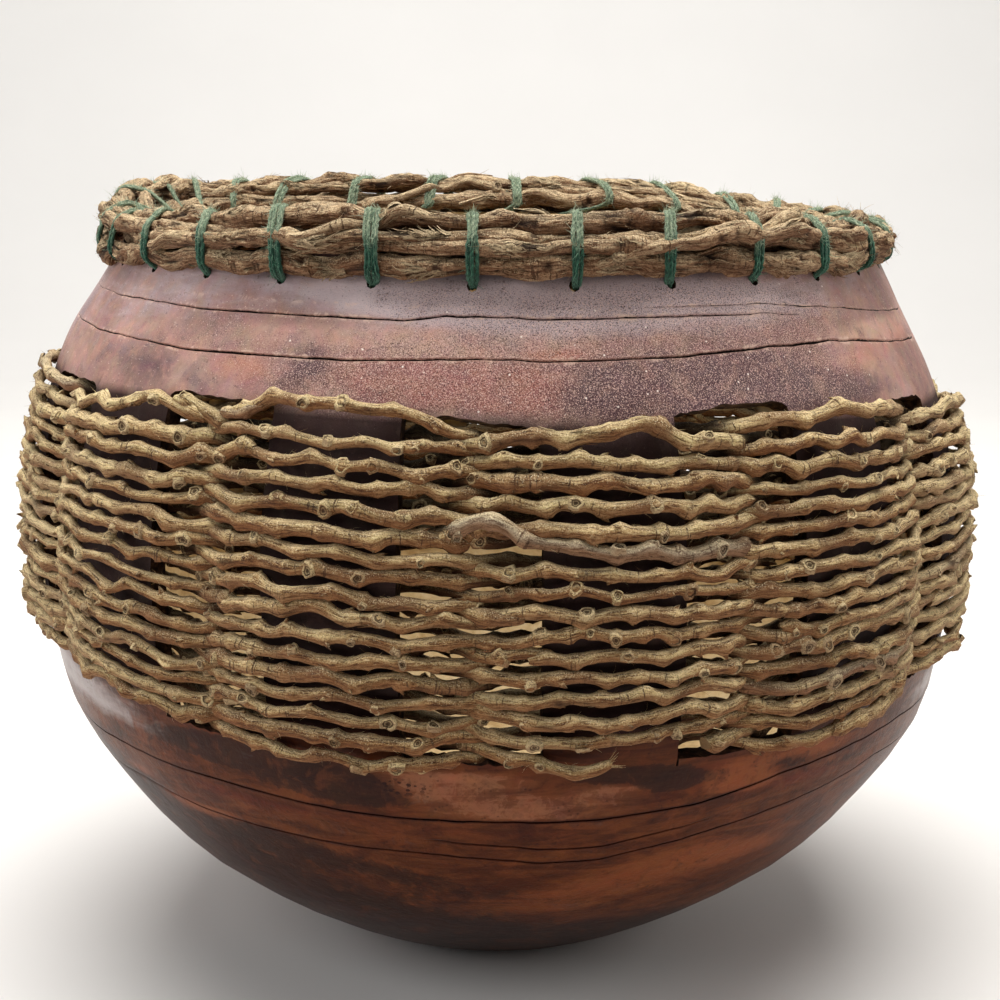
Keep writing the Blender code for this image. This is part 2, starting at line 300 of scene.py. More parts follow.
def tube(b, P, N, R, shape=None, sides=10, start=0.0, caps=(1, 1), cut=1, twist=None, **at):
    """A closed tube along the points P (metres). N points away from the wall and sets
    where the ring starts, R is the radius in mm, shape multiplies it around and along."""
    n = len(P)
    T = unit(np.gradient(P, axis=0))
    A = unit(N - T * (T * N).sum(-1, keepdims=True))
    B = np.cross(T, A)
    phi = np.arange(sides) * TAU / sides
    ph = phi[None, :] + (0 if twist is None else twist[:, None])
    rr = R[:, None] * (1 if shape is None else shape)
    c, s = np.cos(ph) * rr, np.sin(ph) * rr
    V = P[:, None] + (A[:, None] * c[..., None] + B[:, None] * s[..., None]) * MM
    chip = 0.45 * np.cos(phi - start) + 0.18 * np.sin(phi * 2 + 3 * start) + 0.14 * np.sin(phi * 5 + start)
    for row, sign in ((0, -1), (n - 1, 1)):
        V[row] += T[row] * sign * (chip * R[row])[:, None] * MM
    step = np.linalg.norm(np.diff(P, axis=0), axis=1) / MM
    run = start + np.concatenate([[0], np.cumsum(step)])
    bark = np.stack([np.repeat(run[:, None], sides, 1), np.cos(phi) * R[:, None], np.sin(phi) * R[:, None]], -1)
    i = np.arange(n - 1)[:, None] * sides
    j = np.arange(sides)[None, :]
    k = (j + 1) % sides
    quads = np.stack([i + j, i + k, i + sides + k, i + sides + j], -1).reshape(-1, 4)
    data = {}
    for name, val in at.items():
        val = np.asarray(val, float)
        if val.ndim == 1 and len(val) == n:
            val = np.repeat(val[:, None], sides, 1)
        data[name] = (val + np.zeros((n, sides))).ravel()
    base = b.n
    b.add(V.reshape(-1, 3), quads, bark=bark.reshape(-1, 3), **data)
    ends = ((0, 1, caps[0]), (n - 1, -1, caps[1]))
    for row, sign, kind in ends:
        if not kind:
            continue
        ring = base + row * sides + np.arange(sides)
        centre = P[row]
        # a cut end: a bark rim, a step in to the pith, and the pith itself
        inner = centre + (V[row] - centre) * 0.62 + T[row] * sign * R[row] * 0.10 * MM
        pith = centre + T[row] * sign * R[row] * (0.45 if kind == 2 else 0.12) * MM
        vals = {name: data[name][row * sides] for name in data}
        vals["knot"] = 0.5
        b.add(np.vstack([inner, pith]), bark=np.vstack([bark[row] * 0.6, bark[row][:1] * [1, 0, 0]]), **vals)
        inn = b.n - sides - 1 + np.arange(sides)
        pit = b.n - 1
        nxt = np.roll(np.arange(sides), -1)
        if sign == 1:
            qq = np.stack([ring[nxt], ring, inn, inn[nxt]], -1)
            tt = np.stack([inn[nxt], inn, np.full(sides, pit)], -1)
        else:
            qq = np.stack([ring, ring[nxt], inn[nxt], inn], -1)
            tt = np.stack([inn, inn[nxt], np.full(sides, pit)], -1)
        b.q.append(qq)
        b.qm.append(np.full(sides, cut))
        b.t.append(tt)
        b.tm.append(np.full(sides, cut + (1 if kind == 2 else 0)))
    return V, T, A, B, run


def stub(b, p, d, up, r, length, kind, sides=8, start=0.0, tone=0.0, moss=0.0, hook=0.0):
    """A bud stub (pointed, hooked) or a round branch scar (a thick lip round a sunk,
    ringed pith), standing on the bark at p along d. up fixes the ring's start."""
    A = unit(up - d * np.dot(up, d))
    B = np.cross(d, A)
    if kind == "bud":
        prof = ((1.60, -0.45), (1.18, 0.05), (0.78, 0.42), (0.42, 0.78), (0.12, 1.0))
    else:
        prof = ((1.45, -0.9), (1.22, 0.35), (1.0, 0.95), (0.80, 0.95), (0.66, 0.45), (0.46, 0.62), (0.26, 0.30))
    phi = np.arange(sides) * TAU / sides
    rings = []
    for f, h in prof:
        ragged = 1 + 0.10 * np.sin(phi * 3 + start) + 0.07 * np.sin(phi * 5 + 2 * start)
        high = h * np.ones((sides, 1))
        if kind == "scar":
            ragged = ragged + 0.15 * np.sin(phi * 2 + 1.7 * start)
            high = high * (0.80 + 0.42 * np.cos(phi - 2.3 * start))[:, None] if h > 0.4 else high
        rings.append(
            p
            + (d * high * length + A * hook * max(h, 0) ** 2 * length) * MM
            + (A * np.cos(phi)[:, None] + B * np.sin(phi)[:, None]) * ((r * f * MM) * ragged)[:, None]
        )
    V = np.vstack(rings)
    n = len(prof)
    i = np.arange(n - 1)[:, None] * sides
    j = np.arange(sides)[None, :]
    k = (j + 1) % sides
    quads = np.stack([i + j, i + k, i + sides + k, i + sides + j], -1).reshape(-1, 4)
    last = (n - 1) * sides
    tris = [(last + a, last + (a + 1) % sides, n * sides) for a in range(sides)]
    V = np.vstack([V, rings[-1].mean(0) + d * (0.1 if kind == "bud" else -0.1) * length * MM])
    if kind == "bud":
        knot = np.concatenate([np.repeat([0.0, 0.1, 0.2, 0.5, 0.8], sides), [0.9]])
    else:
        knot = np.concatenate([np.repeat([0.0, 0.25, 0.0, 0.15, 0.95, 0.35, 0.9], sides), [1.0]])
    bark = np.stack([start + V[:, 0] * 900, V[:, 1] * 1000, V[:, 2] * 1000], -1)
    b.add(V, quads, tris, bark=bark, knot=knot, tone=tone, moss=moss)


def wisp(b, p, d, length, width, rng, bend=0.5, parts=3, **at):
    """One loose fibre: a thin curved strip."""
    across = unit(np.cross(d, rng.normal(size=3)))
    curl = unit(np.cross(across, d)) * bend
    t = np.linspace(0, 1, parts + 1)
    line = p + (d * t[:, None] + curl * (t**2)[:, None]) * length * MM
    w = (width * (1 - 0.8 * t))[:, None] * MM * 0.5
    V = np.concatenate([line - across * w, line + across * w])
    m = parts + 1
    quads = [(a, a + 1, m + a + 1, m + a) for a in range(parts)]
    b.add(V, quads, bark=np.stack([V[:, 0] * 1000, V[:, 1] * 1000, V[:, 2] * 1000], -1), **at)


def strip(b, P, A, B, R, i, f, length, width, lift, rng, way=1, **at):
    """A strip of bark that peels off a vine: it starts flush and lifts along the way."""
    n = len(P)
    count = max(int(length / 1.3), 4)
    idx = np.clip(i + way * np.arange(count), 0, n - 1)
    t = np.linspace(0, 1, count)
    ff = f + 0.35 * t * rng.normal() + 0.12 * np.sin(t * 7 + rng.uniform(0, 6))
    h = R[idx] * (1.02 + 0.03 * np.sin(t * 9)) + lift * t**1.6
    half = 0.5 * width * np.sin(np.clip(0.25 + 0.85 * t, 0, 1) * math.pi) ** 0.6 + 0.06
    rows = []
    for sgn in (-1.0, 0.0, 1.0):
        g = ff + sgn * half / R[idx]
        hh = h + (0.16 * half if sgn == 0 else 0.0)
        rows.append(P[idx] + (A[idx] * np.cos(g)[:, None] + B[idx] * np.sin(g)[:, None]) * (hh * MM)[:, None])
    V = np.concatenate(rows)
    quads = []
    for s in (0, 1):
        for a in range(count - 1):
            quads.append((s * count + a, s * count + a + 1, (s + 1) * count + a + 1, (s + 1) * count + a))
    run = np.tile(np.arange(count) * 1.3, 3) + rng.uniform(0, 900)
    wide = np.repeat([-1.0, 0.0, 1.0], count) * width
    b.add(V, quads, bark=np.stack([run, wide, 0 * wide + rng.uniform(0, 99)], -1), **at)


# ---------------------------------------------------------------- helpers: materials
class Mat:
    def __init__(self, name):
        self.m = bpy.data.materials.new(name)
        self.m.use_nodes = True
        self.t = self.m.node_tree
        self.bsdf = self.t.nodes["Principled BSDF"]

    def new(self, kind, ins=None, **props):
        n = self.t.nodes.new(kind)
        for k, v in props.items():
            setattr(n, k, v)
        for k, v in (ins or {}).items():
            self.put(n.inputs[k], v)
        return n

    def put(self, sock, v):
        if isinstance(v, bpy.types.NodeSocket):
            self.t.links.new(v, sock)
        elif isinstance(v, tuple) and len(v) == 3 and sock.type == "RGBA":
            sock.default_value = (*v, 1.0)
        else:
            sock.default_value = v

    def attr(self, name, out="Fac"):
        return self.new("ShaderNodeAttribute", attribute_name=name).outputs[out]

    def math(self, op, a, b=0.0, c=None, clamp=False):
        ins = {0: a, 1: b}
        if c is not None:
            ins[2] = c
        n = self.new("ShaderNodeMath", ins, operation=op, use_clamp=clamp)
        return n.outputs[0]

    def add(self, a, b):
        return self.math("ADD", a, b)

    def mul(self, a, b):
        return self.math("MULTIPLY", a, b)

    def span(self, v, a, b, c=0.0, d=1.0, kind="SMOOTHSTEP"):
        n = self.new(
            "ShaderNodeMapRange",
            {"Value": v, "From Min": a, "From Max": b, "To Min": c, "To Max": d},
            interpolation_type=kind,
        )
        return n.outputs["Result"]

    def mix(self, f, a, b, mode="MIX"):
        n = self.new("ShaderNodeMix", data_type="RGBA", blend_type=mode)
        self.put(n.inputs[0], f)
        self.put(n.inputs[6], a)
        self.put(n.inputs[7], b)
        return n.outputs[2]

    def mapping(self, vec, scale=(1, 1, 1), loc=(0, 0, 0)):
        return self.new(
            "ShaderNodeMapping", {"Vector": vec, "Scale": scale, "Location": loc}
        ).outputs[0]

    def noise(self, vec, scale, detail=3.0, rough=0.5, warp=0.0, out="Fac"):
        n = self.new(
            "ShaderNodeTexNoise",
            {"Vector": vec, "Scale": scale, "Detail": detail, "Roughness": rough, "Distortion": warp},
        )
        return n.outputs[out]

    def cells(self, vec, scale, rand=1.0, out="Distance", feature="F1"):
        n = self.new(
            "ShaderNodeTexVoronoi", {"Vector": vec, "Scale": scale, "Randomness": rand}, feature=feature
        )
        return n.outputs[out]

    def flecks(self, vec, scale, amount, r0, r1):
        """Small separate spots; amount, 0 to 1, is the share of the cells that have one."""
        n = self.new("ShaderNodeTexVoronoi", {"Vector": vec, "Scale": scale, "Randomness": 1.0})
        pick = self.new("ShaderNodeSeparateXYZ", {0: n.outputs["Color"]}).outputs[0]
        here = self.math("LESS_THAN", pick, amount)
        return self.mul(self.span(n.outputs["Distance"], r1, r0), here)

    def ramp(self, f, stops, mode="LINEAR"):
        n = self.new("ShaderNodeValToRGB", {"Fac": f})
        el = n.color_ramp.elements
        n.color_ramp.interpolation = mode
        while len(el) < len(stops):
            el.new(0.5)
        for e, (p, c) in zip(el, stops):
            e.position = p
            e.color = (*c, 1.0)
        return n.outputs[0]

    def bump(self, height, dist, strength=1.0, normal=None):
        ins = {"Height": height, "Distance": dist, "Strength": strength}
        if normal is not None:
            ins["Normal"] = normal
        return self.new("ShaderNodeBump", ins).outputs[0]

    def set(self, **kw):
        for k, v in kw.items():
            self.put(self.bsdf.inputs[k.replace("_", " ")], v)
        return self.m


def rgb(r, g, b, gain=1.0):
    """Linear colour from 0-255 sRGB numbers."""
    out = []
    for c in (r, g, b):
        c /= 255.0
        c = c / 12.92 if c <= 0.04045 else ((c + 0.055) / 1.055) ** 2.4
        out.append(c * gain)
    return tuple(out)


# ---------------------------------------------------------------- bark materials
def bark_material(name, kind):
    m = Mat(name)
    vec = m.attr("bark", "Vector")
    tone, moss = m.attr("tone"), m.attr("moss")
    knot, cav = m.attr("knot"), m.attr("cav")
    twig_kind = kind == "twig"
    if twig_kind:
        low, mid, high = rgb(104, 68, 40), rgb(180, 143, 94), rgb(238, 212, 156)
        red, green = rgb(166, 102, 60), rgb(196, 180, 124)
        grey = rgb(172, 164, 152)
    else:
        low, mid, high = rgb(114, 79, 55), rgb(193, 155, 117), rgb(243, 215, 171)
        red, green = rgb(150, 98, 70), rgb(204, 176, 132)
        grey = rgb(184, 166, 150)
    warp = m.noise(m.mapping(vec, (0.25, 0.6, 0.6)), 1.0, 2.0, 0.5, out="Color")
    shifted = m.new("ShaderNodeVectorMath", {0: vec, 1: warp}, operation="ADD").outputs[0]
    grain = m.noise(m.mapping(shifted, (0.16, 1.7, 1.7)), 1.0, 5.0, 0.66)
    fibre = m.noise(m.mapping(shifted, (0.20, 4.6, 4.6)), 1.0, 2.0, 0.5)
    wide = m.noise(m.mapping(vec, (0.07, 0.25, 0.25)), 1.0, 2.0, 0.5)
    fine = m.noise(m.mapping(vec, (1.1, 2.8, 2.8)), 1.0, 3.0, 0.6)
    sand = m.noise(vec, 3.0, 1.0, 0.5)
    mixv = m.add(m.mul(grain, 0.46), m.mul(wide, 0.20))
    mixv = m.add(mixv, m.mul(fine, 0.12))
    mixv = m.add(mixv, m.mul(fibre, 0.22 if twig_kind else 0.32))
    mixv = m.add(mixv, m.mul(m.add(sand, -0.5), 0.12))
    mixv = m.add(mixv, m.mul(tone, 0.040))
    if twig_kind:
        stops = [(0.41, low), (0.50, mid), (0.60, high)]
    else:
        stops = [(0.46, low), (0.56, mid), (0.66, high)]
    col = m.ramp(mixv, stops)
    nz = m.new("ShaderNodeSeparateXYZ", {0: m.new("ShaderNodeNewGeometry").outputs["Normal"]}).outputs[2]
    # greyer weathered vines, greener young ones, and painted shade: redder, darker bark on the undersides
    col = m.mix(m.mul(m.span(m.add(moss, m.mul(wide, 0.5)), 0.05, -0.20), 0.75), col, m.mix(grain, rgb(108, 98, 88), grey))
    mossy = m.mul(m.span(m.add(m.mul(wide, 0.8), moss), 0.45, 0.95), m.span(nz, -0.3, 0.4))
    col = m.mix(m.mul(mossy, 0.55), col, m.mix(fine, rgb(140, 124, 78), green))
    # painted shade: faces turned down are darker and redder
    underside_shade = m.span(m.add(nz, m.mul(m.add(wide, -0.5), 0.8)), 0.62 if twig_kind else 0.55, -0.35)
    col = m.mix(m.mul(underside_shade, 0.80 if twig_kind else 0.52), col, m.mix(grain, rgb(60, 34, 20), red))
    # upper sides paler: pale dust, and a painted highlight where the overhead lamp falls
    top = m.span(m.add(nz, m.mul(m.add(fine, -0.5), 0.8)), 0.25, 0.95)
    col = m.mix(m.mul(top, 0.42), col, m.mix(fibre, high, rgb(252, 232, 190)))
    # lengths of darker, redder bark
    worn = m.noise(m.mapping(vec, (0.030, 0.05, 0.05)), 1.0, 2.0, 0.5)
    wornm = m.mul(m.span(m.add(worn, m.mul(m.add(grain, -0.5), 0.25)), 0.53, 0.63), 0.66 if twig_kind else 0.38)
    col = m.mix(wornm, col, m.mix(grain, rgb(62, 38, 25), rgb(158, 106, 70)))
    # twigs in the dust, and the lips of the scars, are paler
    col = m.mix(m.mul(m.span(tone, 1.0, 3.4), 0.34), col, rgb(222, 200, 160))
    # wrinkles and cross cracks
    lines = m.add(m.mul(grain, 0.55), m.mul(fibre, 0.45))
    col = m.mix(m.mul(m.span(lines, 0.500, 0.435), 0.48), col, rgb(98, 61, 36))
    col = m.mix(m.mul(m.span(lines, 0.440, 0.390), 0.55 if twig_kind else 0.48), col, rgb(56, 34, 22))
    rings = m.noise(m.mapping(shifted, (1.5, 0.16, 0.16)), 1.0, 2.0, 0.5)
    ringm = m.mul(m.mul(m.span(rings, 0.62, 0.68), m.span(wide, 0.42, 0.60)), 0.85)
    col = m.mix(ringm, col, rgb(82, 52, 34))
    spots = m.cells(m.mapping(vec, (0.9, 1.1, 1.1)), 1.0)
    spotm = m.mul(m.span(spots, 0.20, 0.12), m.span(fine, 0.50, 0.62))
    col = m.mix(m.mul(spotm, 0.36), col, rgb(62, 40, 28))
    # pale dust in grains, and dark pits between them
    dust = m.mul(m.span(sand, 0.55, 0.67), m.span(m.add(nz, m.mul(m.add(fine, -0.5), 1.2)), -0.1, 0.7))
    col = m.mix(m.mul(dust, 0.60), col, rgb(250, 232, 192))
    pit = m.span(sand, 0.40, 0.32)
    col = m.mix(m.mul(pit, 0.42), col, rgb(66, 42, 28))
    # painted shade: dark in the hollows of the bark and on the lengths that pass inside the wall
    col = m.mix(m.span(cav, 0.0, 1.0, 0.0, 0.92), col, rgb(36, 22, 16))
    col = m.mix(m.mul(m.span(knot, 0.12, 0.95), 0.88), col, rgb(56, 32, 20))
    h = m.add(m.mul(grain, 1.0), m.mul(fine, 0.35))
    h = m.add(h, m.mul(fibre, 0.65 if twig_kind else 0.9))
    h = m.add(h, m.mul(ringm, -0.5))
    nrm = m.bump(h, 0.0007 if twig_kind else 0.0013, 1.0)
    nrm = m.bump(sand, 0.00024, 1.0, nrm)
    return m.set(Base_Color=col, Roughness=0.86, Normal=nrm, Specular_IOR_Level=0.22)


def cut_wood_material(name):
    m = Mat(name)
    vec = m.attr("bark", "Vector")
    n = m.noise(m.mapping(vec, (1.0, 1.6, 1.6)), 1.0, 3.0, 0.6)
    col = m.ramp(n, [(0.3, rgb(88, 62, 42)), (0.6, rgb(150, 118, 82)), (0.8, rgb(186, 156, 112))])
    nrm = m.bump(n, 0.0003, 0.8)
    return m.set(Base_Color=col, Roughness=0.9, Normal=nrm, Specular_IOR_Level=0.2)


def pith_material(name):
    m = Mat(name)
    vec = m.attr("bark", "Vector")
    n = m.noise(vec, 1.5, 3.0, 0.6)
    col = m.ramp(n, [(0.3, rgb(26, 17, 12)), (0.7, rgb(60, 38, 26))])
    return m.set(Base_Color=col, Roughness=0.95, Specular_IOR_Level=0.1)


TWIG = bark_material("twig_bark", "twig")
VINE = bark_material("vine_bark", "vine")
CUT = cut_wood_material("cut_wood")
PITH = pith_material("pith")


# ---------------------------------------------------------------- the woven rounds
def first_rib(row):
    """The rib that this round passes behind, from which its ribs alternate."""
    return 2 * ((5 * row) % (RIBS // 2)) + (1 - row % 2)


def round_depth(row, ang, bow):
    """Distance outside the skin of the middle of a round's vine at an angle."""
    pos = (np.asarray(ang, float) - RIB_FIRST) / 30.0
    i = np.floor(pos + 0.5).astype(int)
    local = (pos - i) * 30.0
    out_here = ((i - first_rib(row)) % 2) == 1
    d_out = 2.2 + bow * (1 - np.clip(local / RIB_HALF, -1, 1) ** 2)
    d_in = np.full_like(d_out, -(WALL + 2.2))
    here = np.where(out_here, d_out, d_in)
    edge_here = np.where(out_here, 2.2, -(WALL + 2.2))
    edge_next = np.where(out_here, -(WALL + 2.2), 2.2)
    t = np.clip((np.abs(local) - RIB_HALF) / (30.0 - 2 * RIB_HALF), 0, 1)
    t = t * t * (3 - 2 * t)
    cross = edge_here + (edge_next - edge_here) * t
    return np.where(np.abs(local) <= RIB_HALF, here, cross), local, out_here


def knuckles(rng, length):
    s, out = rng.uniform(1.0, 6.0), []
    while s < length - 1.5:
        out.append(s)
        s += rng.uniform(6.0, 13.5)
    return np.array(out if out else [length / 2])


def lumps(ang, spots):
    """Sum of bell curves: (angle, half width, amount)."""
    out = 0.0
    for a0, w, amt in spots:
        out = out + amt * np.exp(-((wrap(ang - a0) / w) ** 2))
    return out


# What single twigs do: round -> (rise in mm, push outwards in mm) round an angle.
RISE = {
    21: ((-1.6, 4.4, 7.8), (4.5, 4.5, 1.8)),
    0: ((-14.0, 4.0, -1.6), (-21.0, 3.0, -0.6), (40.0, 5.0, 1.0)),
    1: ((8.5, 4.5, -2.6), (-48.0, 5.0, 0.8)),
    3: ((12.0, 7.0, -2.2),),
    5: ((12.0, 7.0, -1.5),),
    7: ((12.0, 7.0, -0.8),),
    2: ((-13.0, 3.0, -0.8),),
    31: ((15.5, 3.2, 3.6), (9.0, 3.0, 0.8), (45.0, 4.0, 1.4), (-41.5, 4.5, 3.4), (-0.5, 4.5, -2.0)),
    32: ((-17.0, 7.0, 1.6), (-24.0, 3.0, 1.2), (42.0, 6.0, 2.2), (-35.0, 6.0, -1.6), (-0.5, 4.5, -3.0), (54.0, 5.0, 2.0)),
    30: ((-15.5, 4.0, -0.9), (-0.5, 4.5, -1.0)),
    26: ((-11.0, 3.0, 0.8),),
    14: ((-19.0, 3.5, 1.2),),
    9: ((15.0, 3.5, -1.0),),
}
PUSH = {21: ((-2.0, 5.0, 5.2),), 1: ((10.0, 3.0, 1.2),), 32: ((-17.0, 8.0, 0.6),)}


def twig(b, row, a0, a1, rng, thick, grey=None):
    """One twig of a round, from angle a0 to a1."""
    z_row = ROW_Z0 + row * (ROW_Z1 - ROW_Z0) / (ROWS - 1)
    r_row = float(skin(z_row)[0]) + 1.0
    length = math.radians(a1 - a0) * r_row
    n = max(int(length / 1.25), 6)
    sides = 10
    ang = np.linspace(a0, a1, n)
    s = np.linspace(0, length, n)
    kn = knuckles(rng, length)
    m = len(kn)
    d, local, out_here = round_depth(row, ang, 2.0 + rng.uniform(-0.5, 0.5))
    # the zigzag from knuckle to knuckle
    xs = np.concatenate([[-4.0], kn, [length + 4.0]])
    zk = rng.normal(0, 0.60, m + 2) + 0.48 * (-1.0) ** np.arange(m + 2) * rng.choice([-1, 1])
    dk = rng.normal(0, 0.45, m + 2)
    zz = np.interp(s, xs, zk)
    dd = np.interp(s, xs, dk)
    # each internode sags or arches a little
    arch = rng.normal(0, 0.42, m + 1)
    seg = np.clip(np.searchsorted(xs, s) - 1, 0, m)
    t = (s - xs[seg]) / np.maximum(xs[seg + 1] - xs[seg], 1e-6)
    zz = zz + arch[seg] * 4 * t * (1 - t)
    ker = np.array([1, 2, 1]) / 4.0
    zz = np.convolve(np.pad(zz, 1, mode="edge"), ker, "valid")
    dd = np.convolve(np.pad(dd, 1, mode="edge"), ker, "valid")
    common = 0.9 * noise3(np.radians(wrap(ang)) * 3.0, z_row / 22.0, 3.1, 5)
    common += 0.5 * np.sin(np.radians(ang) * 12 + 1.3 + z_row / 30.0)
    over = np.where(out_here, np.clip(1 - (local / 12.0) ** 2, 0, 1), 0.0)
    fan = over * (max(row - 29, 0) * 0.50 - max(2 - row, 0) * 0.55)
    z = z_row + zz + common + fan + lumps(ang, RISE.get(row, ()))
    z = slide(z, ang)
    wide = side(ang, 0.5, 1.0)
    bulge = 2.4 * np.exp(-((wrap(ang - 76.0) / 12.0) ** 2) - ((z_row - 168.0) / 14.0) ** 2)
    d = d + dd + np.where(out_here, bulge, 0.4 * bulge) + lumps(ang, PUSH.get(row, ()))
    taper = 1.0 + (0.18 if rng.random() < 0.5 else -0.18) * (s / length - 0.5)
    R = thick * taper * (1 + 0.05 * np.exp(-(((np.abs(local) - 15) / 6.0) ** 2))) * (1 - 0.10 * wide)
    R = R * (1 - 0.30 * np.exp(-s / 1.6) - 0.30 * np.exp(-(length - s) / 1.6))
    R = R * (1 + 0.07 * noise3(s / 17.0, row, 0.3, 77))
    phi = np.arange(sides) * TAU / sides
    shape = np.ones((n, sides))
    knot = np.zeros((n, sides))
    stubs = []
    for q, sk in enumerate(kn):
        g = np.exp(-(((s - sk) / 1.35) ** 2))
        shape += (0.12 + 0.16 * rng.random()) * g[:, None]
        turn = rng.choice([TAU * 0.75, TAU * 0.25, 0.0], p=[0.36, 0.34, 0.30]) + rng.normal(0, 0.45)
        lobe = np.clip(np.cos(phi - turn), 0, 1) ** 1.5
        g2 = np.exp(-(((s - sk - rng.uniform(-0.6, 0.6)) / 2.1) ** 2))
        shape += (0.26 + 0.34 * rng.random()) * g2[:, None] * lobe[None]
        off_side = rng.uniform(-1.0, 1.0)
        knot += 0.38 * np.exp(-(((s - sk - off_side) / 0.50) ** 2))[:, None] * (rng.random() < 0.7)
        u = rng.random()
        kind = "bud" if u < 0.50 else ("scar" if u < 0.80 else None)
        stubs.append((sk, turn, kind))
    ph = phi[None] + 0.5 * noise3(s / 30.0, 0.5, row, 78)[:, None]
    c, sn = np.cos(ph), np.sin(ph)
    seed = int(rng.integers(1 << 30))
    rough = fbm(s[:, None] / 8.0, c * 1.7, sn * 1.7, seed, 3)
    shaggy = rng.random() < 0.25
    shape += (0.20 if shaggy else 0.11) * rough
    shape += 0.07 * noise3(s[:, None] / 2.0, c * 2.4, sn * 2.4, seed + 5)
    # painted shade in the hollows of the bark's relief
    cav = np.clip(-rough * 1.1 - 0.12, 0, 1)
    P = off(z, ang, d)
    N = outward(z, ang)
    start = float(rng.uniform(0, 4000))
    tone = rng.uniform(-1, 1) if grey is None else grey
    moss = float(np.clip(rng.normal(0.17, 0.12), -0.1, 0.5)) + 0.16 * smooth(z_row, 130, 185) - 0.10
    if rng.random() < 0.05:
        moss = -0.36
    if grey is not None:
        moss = -0.50
    # the parts that pass inside the wall get painted shade
    cav = np.maximum(cav, (0.60 + 0.32 * smooth(z_row, 158, 178)) * smooth(-d, 1.0, 5.0)[:, None])
    dusty = tone + 1.8 * wide
    V, T, A, B, run = tube(
        b, P, N, R, shape, sides, start, (1, 1), 1, tone=dusty, moss=moss, knot=knot, cav=cav
    )
    for sk, turn, kind in stubs:
        if kind is None or sk < 2 or sk > length - 2:
            continue
        i = int(round(sk / length * (n - 1)))
        rr = R[i]
        if kind == "bud":
            dirn = A[i] * math.cos(turn) + B[i] * math.sin(turn)
            way = rng.choice([-1, 1])
            lean_dir = unit(dirn + T[i] * way * rng.uniform(0.1, 0.8))
            stub(
                b, P[i] + dirn * rr * 1.12 * MM, lean_dir, T[i] * way, rng.uniform(0.62, 0.95),
                rng.uniform(0.9, 2.4), "bud", 7, start + sk, dusty[i], moss, rng.uniform(0.0, 0.8),
            )
        else:
            if math.cos(turn) < 0.35:
                turn = rng.normal(0, 0.55)
            dirn = A[i] * math.cos(turn) + B[i] * math.sin(turn)
            big = rng.uniform(0.90, 1.80)
            stub(
                b, P[i] + dirn * rr * 1.10 * MM, dirn, T[i], big,
                rng.uniform(0.60, 1.05), "scar", 10, start + sk, dusty[i] + 2.2, moss,
            )
    for _ in range(int(length / 1.25) + (30 if shaggy else 0)):
        i = int(rng.integers(2, n - 2))
        f = rng.normal(-0.9, 1.0)
        dirn = A[i] * math.cos(f) + B[i] * math.sin(f)
        wisp(
            b, P[i] + dirn * R[i] * MM, unit(dirn * rng.uniform(0.2, 0.9) + T[i] * rng.choice([-1, 1])),
            0.5 + 2.2 * rng.random() ** 2, rng.uniform(0.08, 0.15), rng, rng.uniform(-0.8, 0.9), 2, tone=2.0, moss=0.1,
        )
    if shaggy:
        for _ in range(int(length / 12)):
            i = int(rng.integers(3, n - 8))
            strip(
                b, P, A, B, R, i, rng.uniform(-1.9, 1.9), rng.uniform(3, 8), rng.uniform(0.4, 0.9),
                rng.uniform(0.1, 0.9), rng, int(rng.choice([-1, 1])), tone=rng.uniform(0, 1.2), moss=moss,
            )
    return P, T, A, B, R


def woven_round(row):
    rng = np.random.default_rng(9000 + 31 * row)
    b = Build()
    # most twigs meet behind a rib; some ends show in a window
    first = first_rib(row)
    joins = []
    k = int(rng.integers(0, 3))
    while k < RIBS:
        mid = RIB_FIRST + 30.0 * k + 15.0
        out_before = ((k - first) % 2) == 1
        shows = rng.random() < 0.45
        if out_before:
            joins.append((mid + (rng.uniform(-6.0, 0.0) if shows else rng.uniform(8.0, 14.0)), 1))
        else:
            joins.append((mid + (rng.uniform(0.0, 6.0) if shows else rng.uniform(-14.0, -8.0)), -1))
        k += int(rng.integers(2, 5))
    if row == 21:
        joins = [j for j in joins if not -30 < wrap(j[0]) < 32] + [(-8.3, 1), (41.0, -1)]
    if row == 0:
        joins = [j for j in joins if not -34 < wrap(j[0]) < 40] + [(44.0, 1)]
    if row == 1:
        joins = [j for j in joins if not -32 < wrap(j[0]) < 32] + [(11.5, -1)]
    joins.sort()
    count = len(joins)
    for j in range(count):
        a0, dir0 = joins[j]
        a1, dir1 = joins[(j + 1) % count]
        if j == count - 1:
            a1 += 360.0
        lead = rng.uniform(2.0, 5.0)
        tail = rng.uniform(2.0, 5.0)
        # the hidden one of the two ends runs on behind the other
        start = a0 - (lead if dir0 == 1 else 0.0)
        end = a1 + (tail if dir1 == -1 else 0.0)
        grey, thick = None, rng.uniform(1.42, 2.12)
        if row == 21 and abs(wrap(a0 + 8.3)) < 0.1:
            start, grey, thick = a0, 1.6, 2.1
        if row == 1 and abs(wrap(a1 - 11.5)) < 0.1:
            thick = 1.85
        if row == 1 and abs(wrap(a0 - 11.5)) < 0.1:
            start = a0 + 11.0
        if row == 1 and abs(wrap(a1 - 11.5)) < 0.1:
            end = a1
        P, T, A, B, R = twig(b, row, start, end, rng, thick, grey)
        if row == 1 and abs(wrap(a1 - 11.5)) < 0.1:
            for _ in range(26):
                f = rng.uniform(0, TAU)
                d = A[-1] * math.cos(f) + B[-1] * math.sin(f)
                wisp(b, P[-1] + d * R[-1] * rng.uniform(0.2, 0.9) * MM, unit(T[-1] + d * 0.5),
                     rng.uniform(1.2, 4.5), 0.32, rng, rng.uniform(-0.3, 0.3), 3, tone=1.2)
    ob = b.make("woven_round_%02d" % (row + 1), [TWIG, CUT, PITH], 55)
    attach(ob, "root")
    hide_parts("weaver_%02d" % (row + 1))
    return ob


for row in range(ROWS):
    woven_round(row)


